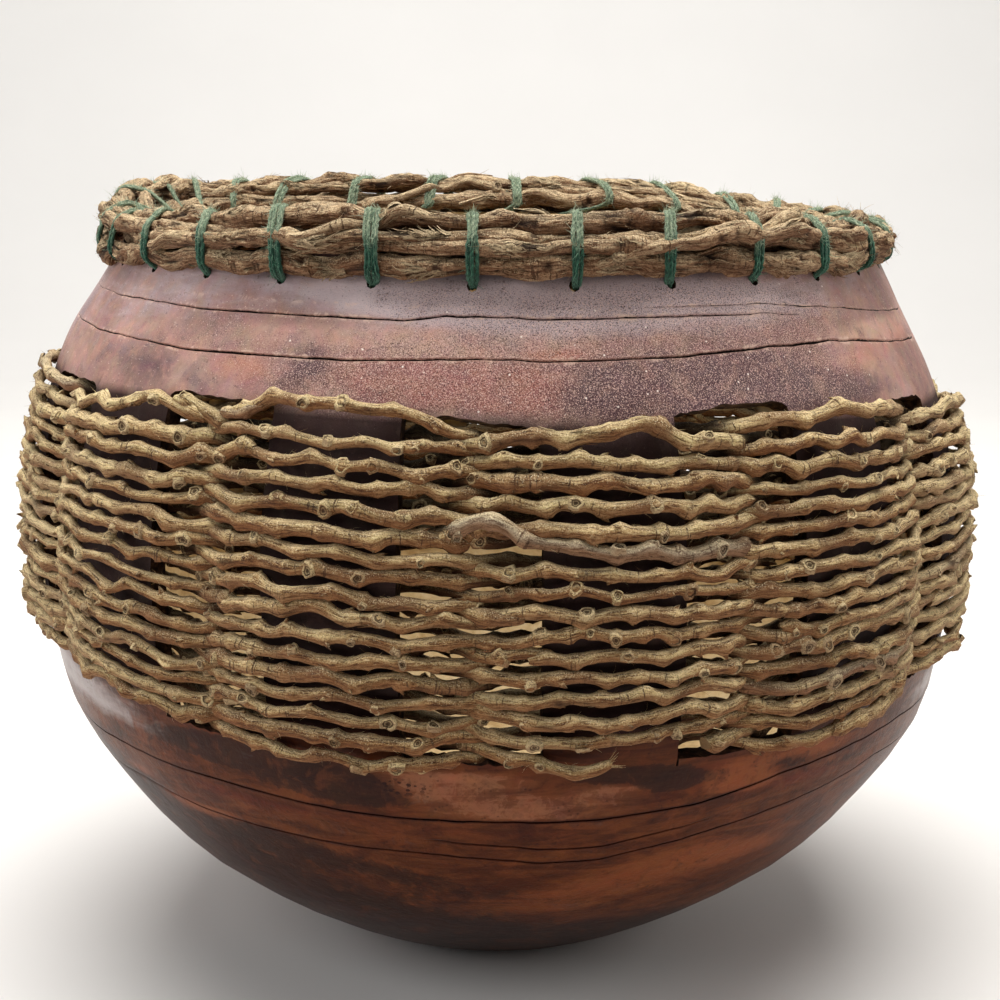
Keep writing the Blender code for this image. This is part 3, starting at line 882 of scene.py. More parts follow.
# ---------------------------------------------------------------- the rim bundle
def rim_line(i, ang):
    """Radius, height and half thickness of one rim vine at an angle."""
    ang = np.asarray(ang, float)
    rho, z, half, side_rho, side_z = RIM_VINES[i]
    dip = rim_dip(ang)
    a = np.radians(ang)
    u, v = np.cos(a) * 3.4, np.sin(a) * 3.4
    w1 = noise3(u, v, 7.7 * i, 41) + 0.7 * noise3(u * 2.3, v * 2.3, 3.3 * i, 42)
    w2 = noise3(u, v, 5.1 * i, 43) + 0.7 * noise3(u * 2.3, v * 2.3, 9.3 * i, 44)
    t = noise3(u * 1.7, v * 1.7, 2.9 * i, 45) + 0.5 * noise3(u * 4, v * 4, 1.9 * i, 46)
    near = np.abs(((ang - STITCH_FIRST) / (360 / STITCHES) + 0.5) % 1.0 - 0.5) * 2
    loose = smooth(near, 0.05, 0.8)
    rho = rho + side_rho * dip
    z = z + side_z * dip
    # the loose stretches between stitches spread out, the stitched ones are pulled in
    rho = rho + (0.55 + 1.70 * loose) * w1 + (rho - 116.0) * 0.07 * (loose - 0.6)
    z = z + (0.45 + 1.70 * loose) * w2 + (z - 231.0) * 0.07 * (loose - 0.6)
    right = np.exp(-((wrap(ang - 88.0) / 26.0) ** 2))
    far_right = np.exp(-((wrap(ang - 132.0) / 14.0) ** 2))
    front = 1 - smooth(np.abs(wrap(ang)), 20.0, 70.0)
    close = 1 - smooth(np.abs(wrap(ang)), 70.0, 95.0)
    drop = {1: 1.6, 2: 3.0, 3: 2.6, 5: 0.4}.get(i, 0.0)
    z = z - drop * right - 2.0 * far_right - {2: 0.9, 3: 0.9}.get(i, 0.3) * front
    # seen from in front, the inner rings of the bundle lie lower than the outer ones
    z = z - {3: 2.0, 4: 1.5}.get(i, 0.0) * close
    R = half * (1 - SIDE_THINNER * dip) * (0.96 + 0.27 * t) * (0.93 + 0.07 * loose)
    return rho, z, R


# Each ring of the bundle: (vines side by side in it, their size, their distance from
# the ring's middle), and how many lengths each is made of.
RIM_FACE = (-0.1, -0.5, -1.4, -2.0, -2.7, -1.57)
RIM_MAKE = ((1, 1.0, 0.0, 3), (2, 0.70, 0.62, 2), (1, 1.0, 0.0, 3), (2, 0.72, 0.60, 3), (1, 1.0, 0.0, 2), (1, 1.0, 0.0, 2))


def rim_length(b, i, strand, a0, a1, rng):
    """One length of vine in ring i of the bundle, from angle a0 to a1."""
    vines, share, apart, _ = RIM_MAKE[i]
    length = math.radians(a1 - a0) * RIM_VINES[i][0]
    sides = 28 if vines == 1 else 20
    n = int(length / 1.2)
    ang = np.linspace(a0, a1, n)
    s = np.linspace(0, length, n)
    rho, z, R = rim_line(i, ang)
    if vines > 1:
        turn = math.pi * strand + 1.2 + 0.9 * np.radians(ang) * 4 + 0.9 * noise3(np.radians(ang) * 3, i, 0, 47)
        rho = rho + apart * R * np.cos(turn)
        z = z + apart * R * np.sin(turn) * 0.8
        R = R * share * (1 + 0.12 * noise3(s / 22.0, strand, i, 48))
    lead = smooth(ang, a0 + 12, a0)
    tail = smooth(ang, a1 - 12, a1)
    R = R * (1 - 0.38 * lead) * (1 - 0.38 * tail)
    way = rng.uniform(-0.6, 1.8)
    shift = 1.4 * (lead - tail)
    rho = rho + shift * math.cos(way)
    z = z + shift * math.sin(way)
    a = np.radians(ang)
    N = np.stack([np.sin(a), -np.cos(a), 0 * a], -1)
    P = place(rho, ang, z)
    seed = int(rng.integers(1 << 30))
    face = RIM_FACE[i]
    phi = np.arange(sides) * TAU / sides
    spin = s / 30.0 * rng.choice([-1, 1]) + 1.1 * noise3(s / 24.0, 0, 0, seed)
    ph = phi[None] + spin[:, None]
    c, sn = np.cos(ph), np.sin(ph)
    # long ridges of bark that run a little round the vine, lumps, and lifted plates
    ridge = 1 - 2 * np.abs(noise3(s[:, None] / 22.0, c * 2.1, sn * 2.1, seed + 1))
    ridge2 = 1 - 2 * np.abs(noise3(s[:, None] / 11.0, c * 4.4, sn * 4.4, seed + 2))
    lump = noise3(s[:, None] / 9.0, np.cos(phi)[None] * 0.9, np.sin(phi)[None] * 0.9, seed + 3)
    swell = noise3(s[:, None] / 13.0, 0.3, 0.7, seed + 9) + 0 * c
    grit = noise3(s[:, None] / 2.0, c * 4.6, sn * 4.6, seed + 4)
    plate = noise3(s[:, None] / 5.0, c * 1.3, sn * 1.3, seed + 6)
    rel = 0.15 * ridge + 0.12 * ridge2 + 0.17 * lump + 0.10 * swell + 0.06 * grit
    rel = rel + 0.09 * np.round(plate * 2.2) / 2.2 - 0.06
    # long splits in the bark
    split = np.exp(-((noise3(s[:, None] / 26.0, c * 1.5, sn * 1.5, seed + 7) / 0.10) ** 2))
    split = split * smooth(noise3(s / 19.0, 0.2, 0.4, seed + 8), -0.25, 0.25)[:, None]
    rel = rel - 0.26 * split
    shape = 1.0 + rel
    knot = np.zeros((n, sides))
    sb = rng.uniform(4, 20)
    while sb < length - 6:
        sd = rng.normal(face, 0.9) if rng.random() < 0.8 else rng.uniform(0, TAU)
        big = rng.uniform(0.28, 0.85)
        wid = rng.uniform(2.2, 5.2)
        away = 1 - np.cos(phi[None] - sd)
        shape += big * np.exp(-(((s[:, None] - sb) / wid) ** 2) - away * 2.6)
        if rng.random() < 0.75:
            pit = np.exp(-(((s[:, None] - sb) / (wid * 0.32)) ** 2) - away * 15)
            shape -= big * 1.05 * pit
            knot += 1.0 * pit
        shape += 0.07 * np.exp(-(((s[:, None] - sb - wid) / 0.9) ** 2))
        sb += rng.uniform(9, 23)
    # cross cracks
    for _ in range(int(length / 16)):
        sc, half_turn = rng.uniform(3, length - 3), rng.uniform(0, TAU)
        gap = np.exp(-(((s[:, None] - sc - 0.8 * np.sin(phi[None] * 2 + sc)) / 0.55) ** 2))
        gap = gap * smooth(np.cos(phi[None] - half_turn), -0.3, 0.5)
        shape -= 0.11 * gap
        knot += 0.8 * gap
    near = np.abs(((ang - STITCH_FIRST) / (360 / STITCHES) + 0.5) % 1.0 - 0.5) * 2
    shape = 1 + (shape - 1) * (0.30 + 0.70 * smooth(near, 0.14, 0.45))[:, None]

    def clear(q, way, reach):
        idx = np.clip(q + way * np.arange(int(reach / 1.2) + 2), 0, n - 1)
        return bool((near[idx] > 0.20).all())

    flat = 1 - 0.75 * side(ang, 0.75, 0.98)
    tone = rng.uniform(-1.0, 1.2)
    # painted shade in the hollows of the bark's relief
    cav = np.clip(-(rel * 3.4) - 0.06, 0, 1)
    V, T, A, B, run = tube(
        b, P, N, R, shape, sides, float(rng.uniform(0, 4000)), (1, 1), 1,
        tone=tone + 0.8 * lump, moss=rng.uniform(-0.25, 0.25), knot=knot, cav=cav,
    )
    # sheaves of straw-coloured fibre that have split off
    at = rng.uniform(10, 50)
    while at < length - 26:
        f0 = rng.normal(face, 0.6)
        way = int(rng.choice([-1, 1]))
        reach = rng.uniform(9, 19)
        for _ in range(14):
            q0 = int(np.clip(at / length * (n - 1) + rng.integers(-9, 10), 3, n - 4))
            if clear(q0, way, reach):
                break
            reach = max(reach * 0.93, 7.0)
        for k in range(int(rng.integers(12, 24))):
            q, part = int(np.clip(q0 + rng.integers(-2, 3), 3, n - 4)), reach * rng.uniform(0.5, 1.0)
            if clear(q, way, part):
                strip(
                    b, P, A, B, R, q, f0 + rng.normal(0, 0.24), part, rng.uniform(0.32, 0.75),
                    rng.uniform(0.2, 2.4) * flat[q], rng, way, tone=rng.uniform(1.6, 4.2), moss=0.14, cav=0.0,
                )
        at += rng.uniform(30, 85)
    # shreds of peeling bark
    for _ in range(int(length / 4.6)):
        q = int(rng.integers(3, n - 4))
        f = rng.normal(face, 1.0)
        way, part = int(rng.choice([-1, 1])), rng.uniform(4, 15)
        if clear(q, way, part):
            # some shreds get a little painted shade
            strip(
                b, P, A, B, R, q, f, part, rng.uniform(0.35, 1.3), rng.uniform(0.0, 1.3) ** 2 * flat[q],
                rng, way, tone=rng.uniform(-0.8, 2.2), moss=0.15, cav=0.25 * rng.random(),
            )
    for _ in range(int(length / 1.5)):
        q = int(rng.integers(3, n - 4))
        f = rng.normal(face, 1.0)
        dirn = A[q] * math.cos(f) + B[q] * math.sin(f)
        wisp(
            b, P[q] + dirn * R[q] * 1.03 * MM, unit(dirn * rng.uniform(0.1, 0.8) + T[q] * rng.choice([-1, 1])),
            rng.uniform(0.7, 2.2) + 3.0 * rng.random() ** 3, rng.uniform(0.10, 0.24), rng, rng.uniform(-1.0, 1.0), 2,
            tone=rng.uniform(1.0, 3.6), moss=0.12,
        )
    return P, T, A, B, R


# Thinner shoots that cross from ring to ring: (ring, ring, from angle, to angle, radius).
SHOOTS = (
    (1, 2, -31.0, -8.0, 1.9), (0, 1, 8.0, 23.0, 1.5), (1, 2, 27.0, 50.0, 1.7), (0, 1, -64.0, -44.0, 1.6),
    (2, 3, -52.0, -30.0, 1.6), (1, 2, -92.0, -70.0, 1.6), (1, 2, 100.0, 124.0, 1.8), (0, 1, 150.0, 172.0, 1.6),
    (4, 3, 165.0, 192.0, 1.7), (4, 3, 205.0, 184.0, 1.5), (1, 2, -122.0, -98.0, 1.8), (0, 1, -160.0, -140.0, 1.6),
)


def shoot(b, i0, i1, a0, a1, size, rng):
    n = int(math.radians(abs(a1 - a0)) * 122 / 1.2)
    t = np.linspace(0, 1, n)
    ang = a0 + (a1 - a0) * t
    s = t * math.radians(abs(a1 - a0)) * 122
    w = smooth(t + 0.06 * np.sin(s / 7.0), 0.15, 0.85)
    (r0, z0, R0), (r1, z1, R1) = rim_line(i0, ang), rim_line(i1, ang)
    rho, z, R = r0 + (r1 - r0) * w, z0 + (z1 - z0) * w, R0 + (R1 - R0) * w
    near = np.abs(((ang - STITCH_FIRST) / (360 / STITCHES) + 0.5) % 1.0 - 0.5) * 2
    out = np.arctan2(z - 231.0, rho - 116.0)
    lift = (0.25 * R + (0.75 * R + 0.5 * size) * smooth(near, 0.10, 0.60)) * np.sin(np.clip(t, 0, 1) * math.pi) ** 0.5
    lift = lift - 0.9 * np.exp(-t / 0.05) - 0.9 * np.exp(-(1 - t) / 0.05)
    P = place(rho + lift * np.cos(out), ang, z + lift * np.sin(out))
    a = np.radians(ang)
    N = np.stack([np.sin(a), -np.cos(a), 0 * a], -1)
    sides = 12
    phi = np.arange(sides) * TAU / sides
    c, sn = np.cos(phi)[None], np.sin(phi)[None]
    seed = int(rng.integers(1 << 30))
    rel = 0.16 * fbm(s[:, None] / 7.0, c * 1.6, sn * 1.6, seed, 3) + 0.10 * (1 - 2 * np.abs(noise3(s[:, None] / 16.0, c * 3, sn * 3, seed + 1)))
    thick = size * (0.94 + 0.16 * noise3(s / 8.0, 0.2, 0.9, seed + 2))
    # the hollows of the relief get painted shade
    V, T, A, B, run = tube(
        b, P, N, thick, 1 + rel, sides, float(rng.uniform(0, 4000)), (1, 1), 1,
        tone=1.2, moss=0.12, cav=np.clip(-rel * 2.5 - 0.05, 0, 1),
    )
    face = RIM_FACE[i1]
    for _ in range(2):
        q = int(n * rng.uniform(0.25, 0.8))
        f = rng.normal(face, 0.5)
        dirn = A[q] * math.cos(f) + B[q] * math.sin(f)
        stub(b, P[q] + dirn * thick[q] * 1.05 * MM, dirn, T[q], rng.uniform(1.3, 1.8), 0.8, "scar", 10, float(s[q]), 2.0, 0.1)
    for _ in range(int(s[-1] / 1.0)):
        q = int(rng.integers(3, n - 4))
        f = rng.normal(face, 1.0)
        dirn = A[q] * math.cos(f) + B[q] * math.sin(f)
        wisp(
            b, P[q] + dirn * thick[q] * MM, unit(dirn * rng.uniform(0.2, 0.8) + T[q] * rng.choice([-1, 1])),
            rng.uniform(0.7, 2.4), rng.uniform(0.10, 0.22), rng, rng.uniform(-1.0, 1.0), 2, tone=2.6, moss=0.12,
        )


def rim_vine(i):
    rng = np.random.default_rng(7700 + 13 * i)
    b = Build()
    vines, _, _, pieces = RIM_MAKE[i]
    for strand in range(vines):
        starts = 25.0 + 47.0 * i + 70.0 * strand + np.arange(pieces) * 360.0 / pieces
        starts = starts + rng.uniform(-14, 14, pieces)
        if i == 2:
            starts = np.array([76.0, 187.0, 318.0])
        for j in range(pieces):
            lap = 6.0
            a0 = starts[j] - lap
            a1 = (starts[(j + 1) % pieces] + (360.0 if j == pieces - 1 else 0.0)) + lap
            if i == 2 and j == 0:
                a0 += 26.0  # the top row stops short at the right-hand side
            rim_length(b, i, strand, a0, a1, rng)
    for i0, i1, a0, a1, size in SHOOTS:
        if i0 == i:
            shoot(b, i0, i1, a0, a1, size, rng)
    if i == 3:
        # a loose straw caught on top of the bundle
        p0, p1 = place(122.5, -4.6, 241.6), place(115.5, -1.6, 243.4)
        P = p0 + (p1 - p0) * np.linspace(0, 1, 7)[:, None]
        tube(b, P, np.tile([0.0, 0.0, 1.0], (7, 1)), np.linspace(0.42, 0.28, 7), None, 6, 90.0, tone=1.6, moss=0.2)
    if i == 0:
        # the frayed end of a vine that hangs over the collar at the right-hand side
        t = np.linspace(0, 1, 16)
        ang = 84.0 + 13.0 * t
        z = 227.0 - 8.5 * t**1.5
        r = np.array([float(skin(q)[0]) for q in z]) + 3.6 - 0.8 * t
        P = place(r, ang, z)
        a = np.radians(ang)
        N = np.stack([np.sin(a), -np.cos(a), 0 * a], -1)
        R = 2.3 - 0.9 * t
        shape = 1 + 0.18 * fbm(t[:, None] * 4, np.cos(np.arange(12) * TAU / 12)[None] * 1.5, np.sin(np.arange(12) * TAU / 12)[None] * 1.5, 99)
        V, T, A, B, run = tube(b, P, N, R, shape, 12, 700.0, (1, 1), 1, tone=0.4)
        for _ in range(150):
            q = int(rng.integers(4, 16))
            f = rng.uniform(0, TAU)
            dirn = A[q] * math.cos(f) + B[q] * math.sin(f)
            wisp(b, P[q] + dirn * R[q] * MM, unit(dirn * 0.25 + T[q]), rng.uniform(1.0, 3.2), 0.15, rng, rng.uniform(-0.9, 0.9), 3, tone=1.2)
    ob = b.make("rim_bark_%d" % (i + 1), [VINE, CUT, PITH], 60)
    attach(ob, "root")
    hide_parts("rim_vine_%d" % (i + 1))


for i in range(len(RIM_VINES)):
    rim_vine(i)


# ---------------------------------------------------------------- the green lashing
def hull(points):
    pts = sorted(map(tuple, points))

    def half(seq):
        out = []
        for p in seq:
            while len(out) >= 2 and (out[-1][0] - out[-2][0]) * (p[1] - out[-2][1]) - (
                out[-1][1] - out[-2][1]
            ) * (p[0] - out[-2][0]) <= 0:
                out.pop()
            out.append(p)
        return out

    lower, upper = half(pts), half(reversed(pts))
    return np.array(lower[:-1] + upper[:-1])


def yarn_material():
    m = Mat("wool_yarn")
    vec = m.attr("bark", "Vector")
    fade = m.attr("tone")
    fuzz = m.attr("moss")
    ply = m.attr("cav")
    n = m.noise(m.mapping(vec, (0.8, 2.6, 2.6)), 1.0, 4.0, 0.7)
    wide = m.noise(m.mapping(vec, (0.16, 0.3, 0.3)), 1.0, 2.0, 0.5)
    deep = m.ramp(n, [(0.38, rgb(16, 42, 35)), (0.52, rgb(34, 78, 62)), (0.66, rgb(80, 130, 104))])
    pale = m.ramp(n, [(0.38, rgb(74, 100, 80)), (0.52, rgb(132, 150, 122)), (0.66, rgb(188, 194, 164))])
    f = m.span(m.add(fade, m.mul(m.add(wide, -0.5), 0.9)), 0.20, 0.95)
    col = m.mix(f, deep, pale)
    col = m.mix(m.mul(fuzz, 0.60), col, m.mix(f, rgb(110, 164, 134), rgb(200, 208, 178)))
    hair = m.noise(m.mapping(vec, (1.2, 4.5, 4.5)), 1.0, 2.0, 0.6, 1.5)
    col = m.mix(m.mul(m.span(hair, 0.54, 0.62), m.span(f, 0.0, 1.0, 0.22, 0.55)), col, m.mix(f, rgb(120, 170, 142), rgb(214, 218, 192)))
    # painted shade in the grooves between the plies
    col = m.mix(m.mul(ply, 0.70), col, rgb(8, 26, 22))
    nrm = m.bump(n, 0.0004, 1.0)
    m.set(Base_Color=col, Roughness=0.95, Normal=nrm, Specular_IOR_Level=0.12)
    m.set(Sheen_Weight=0.30, Sheen_Roughness=0.5)
    m.bsdf.inputs["Sheen Tint"].default_value = (0.6, 0.8, 0.65, 1.0)
    return m.m


def lashing():
    rng = np.random.default_rng(515)
    b = Build()
    step = 360.0 / STITCHES
    r_out, nr, _ = skin(HOLE_Z)
    r_hole_out = float(r_out) + 0.2
    r_hole_in = float(r_out - WALL / nr) - 0.2
    circle = np.arange(40) * TAU / 40
    for k in range(STITCHES):
        mid = STITCH_FIRST + k * step + rng.uniform(-0.25, 0.25)
        strands = int(rng.choice([3, 4], p=[0.45, 0.55]))
        # on the far side, and towards the sides, the stitches were pulled askew
        skew = -math.sin(math.radians(2 * mid)) * (0.5 if math.cos(math.radians(mid)) > 0 else 1.6)
        skew = math.degrees(skew * rng.uniform(0.85, 1.15) / 121.0)
        for q in range(strands):
            rad = rng.uniform(0.48, 0.62)
            across = (q - (strands - 1) / 2) * rng.uniform(0.88, 1.08)
            lift = 0.34 * (q % 2) + rng.uniform(0, 0.2)
            ang0 = mid + across / 2.15
            pts = []
            for i in range(len(RIM_VINES)):
                rho, z, R = (float(x) for x in rim_line(i, ang0))
                rho, z, R = (float(x) for x in rim_line(i, ang0 + skew * (rho - r_hole_out)))
                grow = R + rad * 0.75 + lift
                pts += [(rho + grow * math.cos(c), z + grow * math.sin(c)) for c in circle]
            pts.append((r_hole_out + rad * 0.5, HOLE_Z + 0.4))
            pts.append((r_hole_in - rad * 0.5, HOLE_Z + 0.4))
            h = hull(pts)
            # start at the outer mouth of the hole, go up over the outside and down inside
            i0 = int(np.argmin(np.hypot(h[:, 0] - r_hole_out, h[:, 1] - HOLE_Z)))
            h = np.roll(h, -i0, axis=0)
            inner = int(np.argmin(h[:, 0] + 0.25 * np.abs(h[:, 1] - 231.0)))
            loop = h[: inner + 1]
            low = HOLE_Z - 0.95 - 0.25 * (q % 2)
            route = [(r_hole_in, low, 0.0), (r_hole_out - 0.6, low, 0.40)]
            route += [(p[0], p[1], 1.0) for p in loop]
            route = np.array(route)
            # then along the inside to the next hole
            last = route[-1]
            goal = np.array([r_hole_in - 0.5, HOLE_Z + 0.3])
            tail = [
                (last[0] - 0.1, last[1] - 2.0, 0.12),
                (last[0] + (goal[0] - last[0]) * 0.45 - 1.2, last[1] - 6.5, 0.50),
                (goal[0] - 0.9, goal[1] + 1.8, 0.86),
                (goal[0] + 0.4, goal[1], 1.0),
            ]
            rr = np.concatenate([route[:, 0], [p[0] for p in tail]])
            zz = np.concatenate([route[:, 1], [p[1] for p in tail]])
            spread = np.concatenate([route[:, 2], [1.0, 0.7, 0.3, 0.1]])
            on = np.concatenate([np.zeros(len(route)), [p[2] for p in tail]])
            # even spacing along the way
            seg = np.hypot(np.diff(rr), np.diff(zz)) + np.abs(np.diff(on)) * 22
            run = np.concatenate([[0], np.cumsum(seg)])
            n = int(run[-1] / 1.15)
            u = np.linspace(0, run[-1], n)
            rr, zz, spread, on = (np.interp(u, run, w) for w in (rr, zz, spread, on))
            for _ in range(2):
                for w in (rr, zz, spread):
                    w[1:-1] = (w[:-2] + 2 * w[1:-1] + w[2:]) / 4
            wob = 0.34 * noise3(u / 6.0, q * 3.3, k * 1.7, 91)
            ang = mid + (across * spread + wob) / 2.15 + on * step + skew * (rr - r_hole_out) * (1 - smooth(on, 0.0, 0.6))
            P = place(rr, ang, zz)
            N = unit(np.stack([np.sin(np.radians(mid)), -np.cos(np.radians(mid)), 0.3])[None]) + np.zeros((n, 1))
            sides = 8
            phi = np.arange(sides) * TAU / sides
            turn = u * TAU / 4.2
            ply = np.cos(2 * (phi[None] - turn[:, None]))
            shape = 1 + 0.25 * ply
            shape += 0.14 * noise3(u[:, None] / 1.1, np.cos(phi)[None] * 2, np.sin(phi)[None] * 2, 92 + q + 5 * k)
            fade = smooth(zz, 225.0, 238.0) + 0.22 * noise3(u / 3, q, k, 93)
            fade = fade + 0.45 * smooth(math.cos(math.radians(mid)), 0.2, -0.6) + 0.30 * side(mid, 0.75, 1.0)
            fade = np.clip(fade, 0, 1.2)
            # the grooves between the plies get painted shade
            tube(
                b, P, N, np.full(n, rad), shape, sides, float(rng.uniform(0, 900)), (1, 1), 0,
                tone=fade, moss=0.0, cav=np.clip(-ply * 1.2, 0, 1),
            )
            # fuzz
            for _ in range(210):
                i = int(rng.integers(3, n - 3))
                if on[i] > 0.05 or rng.random() > 0.25 + 0.75 * smooth(zz[i], 224.0, 238.0):
                    continue
                d = unit(rng.normal(size=3))
                away = unit(P[i] - place(116.0, ang[i], 231.0)[None][0])
                if np.dot(d, away) < 0:
                    d = -d
                wisp(
                    b, P[i] + d * rad * 0.8 * MM, unit(d + away * 0.3), rng.uniform(0.5, 1.4) + rng.random() ** 4 * 2.0, 0.17, rng,
                    rng.uniform(-1.4, 1.4), 2, tone=fade[i] + 0.25, moss=1.0,
                )
    ob = b.make("green_lashing", [yarn_material()], None)
    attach(ob, "root")
    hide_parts("lashing_yarn")


lashing()


# ---------------------------------------------------------------- the gourd
COLS = 504  # 18 to a lash hole, 42 to a rib and window
COL_FIRST = -3.0
ANGLES = COL_FIRST + np.arange(COLS) * 360.0 / COLS

# Drying cracks: (angle, height) along each, and (angle, strength) along each.
CRACKS = {
    "upper": (
        ((-180, 210.6), (-140, 209.4), (-100, 209.0), (-65, 209.5), (-38, 209.7), (-18, 210.7),
         (-11, 210.8), (-6, 212.4), (9, 212.6), (23, 213.1), (37, 213.2), (50, 211.0), (76, 206.6), (105, 208.6), (140, 210.4)),
        ((-180, 0.0), (-150, 0.5), (-110, 0.7), (-95, 0.15), (-66, 0.25), (-55, 0.8), (-20, 1.0), (-6, 1.25), (10, 0.9), (30, 0.65), (40, 0.3), (44, 0.0), (110, 0.0), (130, 0.5), (165, 0.3)),
    ),
    "faint": (
        ((-180, 214.6), (-100, 213.4), (-30, 214.8), (5, 215.6), (21, 215.3), (34, 215.8), (47, 214.2), (58, 212.3), (76, 209.4), (95, 211.5), (140, 214.4)),
        ((-180, 0.0), (16, 0.0), (22, 0.28), (40, 0.35), (52, 0.6), (76, 0.6), (88, 0.2), (95, 0.0)),
    ),
    "lower": (
        ((-180, 201.6), (-120, 200.2), (-70, 199.5), (-38, 199.0), (-17, 200.3), (-4, 201.9), (8, 202.3), (21, 202.9), (25, 203.5), (34, 204.6), (46, 205.3), (76, 200.6), (120, 201.2), (150, 202.0)),
        ((-180, 0.7), (-150, 0.9), (-120, 0.3), (-90, 0.1), (-68, 0.5), (-50, 1.0), (-30, 1.3), (0, 0.9), (20, 1.0), (38, 1.5), (60, 1.0), (78, 0.7), (95, 0.2), (120, 0.0), (150, 0.3)),
    ),
    "seam1": (
        ((-180, 84.0), (-120, 82.0), (-80, 80.8), (-49, 79.8), (-35, 79.4), (-23, 77.9), (-11, 76.8), (-4, 77.1), (3, 77.4), (12, 77.8), (24, 80.2), (34, 85.6), (46, 89.4), (58, 92.2), (80, 90.5), (120, 87.0)),
        ((-180, 0.6), (-120, 0.4), (-80, 0.5), (-40, 0.9), (-23, 1.1), (0, 1.4), (20, 1.3), (40, 1.1), (60, 0.9), (85, 0.6), (130, 0.7)),
    ),
    "seam2": (
        ((-180, 72.0), (-120, 71.0), (-51, 68.6), (-39, 66.2), (-26, 65.1), (-19, 64.6), (-9, 64.3), (-1, 63.3), (5, 62.2), (13, 62.4), (23, 66.7), (28, 69.6), (34, 72.2), (40, 74.9), (46, 77.2), (54, 81.5), (80, 81.0), (120, 76.0)),
        ((-180, 0.5), (-120, 0.3), (-60, 0.4), (-35, 0.7), (-10, 0.9), (5, 1.3), (20, 1.1), (40, 1.0), (60, 1.0), (85, 0.4), (130, 0.5)),
    ),
}


# Window -> corners where the saw ran on: (right-hand side, at the head).
NICKS = {-1: ((1, 0), (1, 1)), 0: ((0, 1),), 1: ((0, 0),), 2: ()}


def crack_line(name, ang):
    line, strength = CRACKS[name]
    a = np.radians(ang)
    z = around(ang, line) + 0.22 * noise3(np.cos(a) * 26, np.sin(a) * 26, len(name) * 1.7, 60)
    z = z + 0.09 * noise3(np.cos(a) * 60, np.sin(a) * 60, len(name) * 1.3, 64)
    z = z + 0.30 * noise3(np.cos(a) * 8, np.sin(a) * 8, len(name) * 2.9, 61)
    z = level(ang, z)
    s = around(ang, strength)
    s = s * (0.85 + 0.65 * noise3(np.cos(a) * 9, np.sin(a) * 9, len(name) * 3.1, 62))
    return z, np.clip(s, 0, 1.6)


def gourd_grid():
    """Row heights for every column, with the rows that follow each crack."""
    a = ANGLES
    one = np.ones(COLS)
    up, up_s = crack_line("upper", a)
    ft, ft_s = crack_line("faint", a)
    lo, lo_s = crack_line("lower", a)
    s1, s1_s = crack_line("seam1", a)
    s2, s2_s = crack_line("seam2", a)
    th = s2 + 5.3 + 0.3 * noise3(np.cos(np.radians(a)) * 20, np.sin(np.radians(a)) * 20, 4.4, 63)
    th = np.where(np.abs(a - 9.5) < 24, th + 0.0, th)
    th_s = around(a, ((-180, 0), (-9, 0), (-5, 0.5), (8, 0.8), (20, 0.6), (27, 0.0)))
    rows, dist, strength = [], [], []

    def plain(z):
        rows.append(z * one)
        dist.append(9.0 * one)
        strength.append(0 * one)

    def fill(z0, z1, count):
        for t in range(1, count + 1):
            plain(z0 + (z1 - z0) * t / (count + 1))

    def group(line, power, reach):
        for d in (-reach, -0.40, -0.14, 0.0, 0.14, 0.40, reach):
            if abs(d) > reach:
                continue
            rows.append(line + d)
            dist.append(np.full(COLS, d))
            strength.append(power)

    for z in (0.0, 1.5, 4.0, 8.0, 13.0, 19.0, 26.0, 34.0, 42.0, 50.0):
        plain(z)
    fill(50.0, s2 - 1.6, 2)
    group(s2, s2_s, 1.6)
    fill(s2 + 1.6, th - 0.55, 1)
    group(th, th_s, 0.55)
    fill(th + 0.55, s1 - 1.6, 2)
    group(s1, s1_s, 1.6)
    fill(s1 + 1.6, slide(WINDOW_Z0, a), 3)
    w0 = len(rows)
    band = 30
    for t in range(band + 1):
        plain(slide(WINDOW_Z0 + (WINDOW_Z1 - WINDOW_Z0) * t / band, a))
    w1 = len(rows) - 1
    fill(slide(WINDOW_Z1, a), lo - 1.6, 3)
    group(lo, lo_s, 1.6)
    fill(lo + 1.6, up - 1.6, 2)
    group(up, up_s, 1.6)
    fill(up + 1.6, ft - 0.5, 0)
    for d in (-0.3, 0.0, 0.3):
        rows.append(np.maximum(ft, up + 2.3) + d)
        dist.append(np.full(COLS, d))
        strength.append(ft_s)
    fill(np.maximum(ft, up + 2.3) + 0.3, (HOLE_Z - 2.2) * one, 1)
    h = len(rows)
    for z in (HOLE_Z - 2.2, HOLE_Z, HOLE_Z + 2.2):
        plain(z)
    plain(225.4 - MOUTH_DIP * 0.5 * rim_dip(a))
    plain(MOUTH_Z - MOUTH_DIP * rim_dip(a))
    return np.array(rows), np.array(dist), np.array(strength), w0, w1, h + 1


def bump_at(ang, z, a0, z0, wa, wz):
    return np.exp(-((wrap(ang - a0) / wa) ** 2) - ((z - z0) / wz) ** 2)


SKIN_MAPS = ("crk", "crs", "purple", "orange", "red", "tan", "dark", "speck", "dust_and_sheen", "gloss", "rib", "dots")


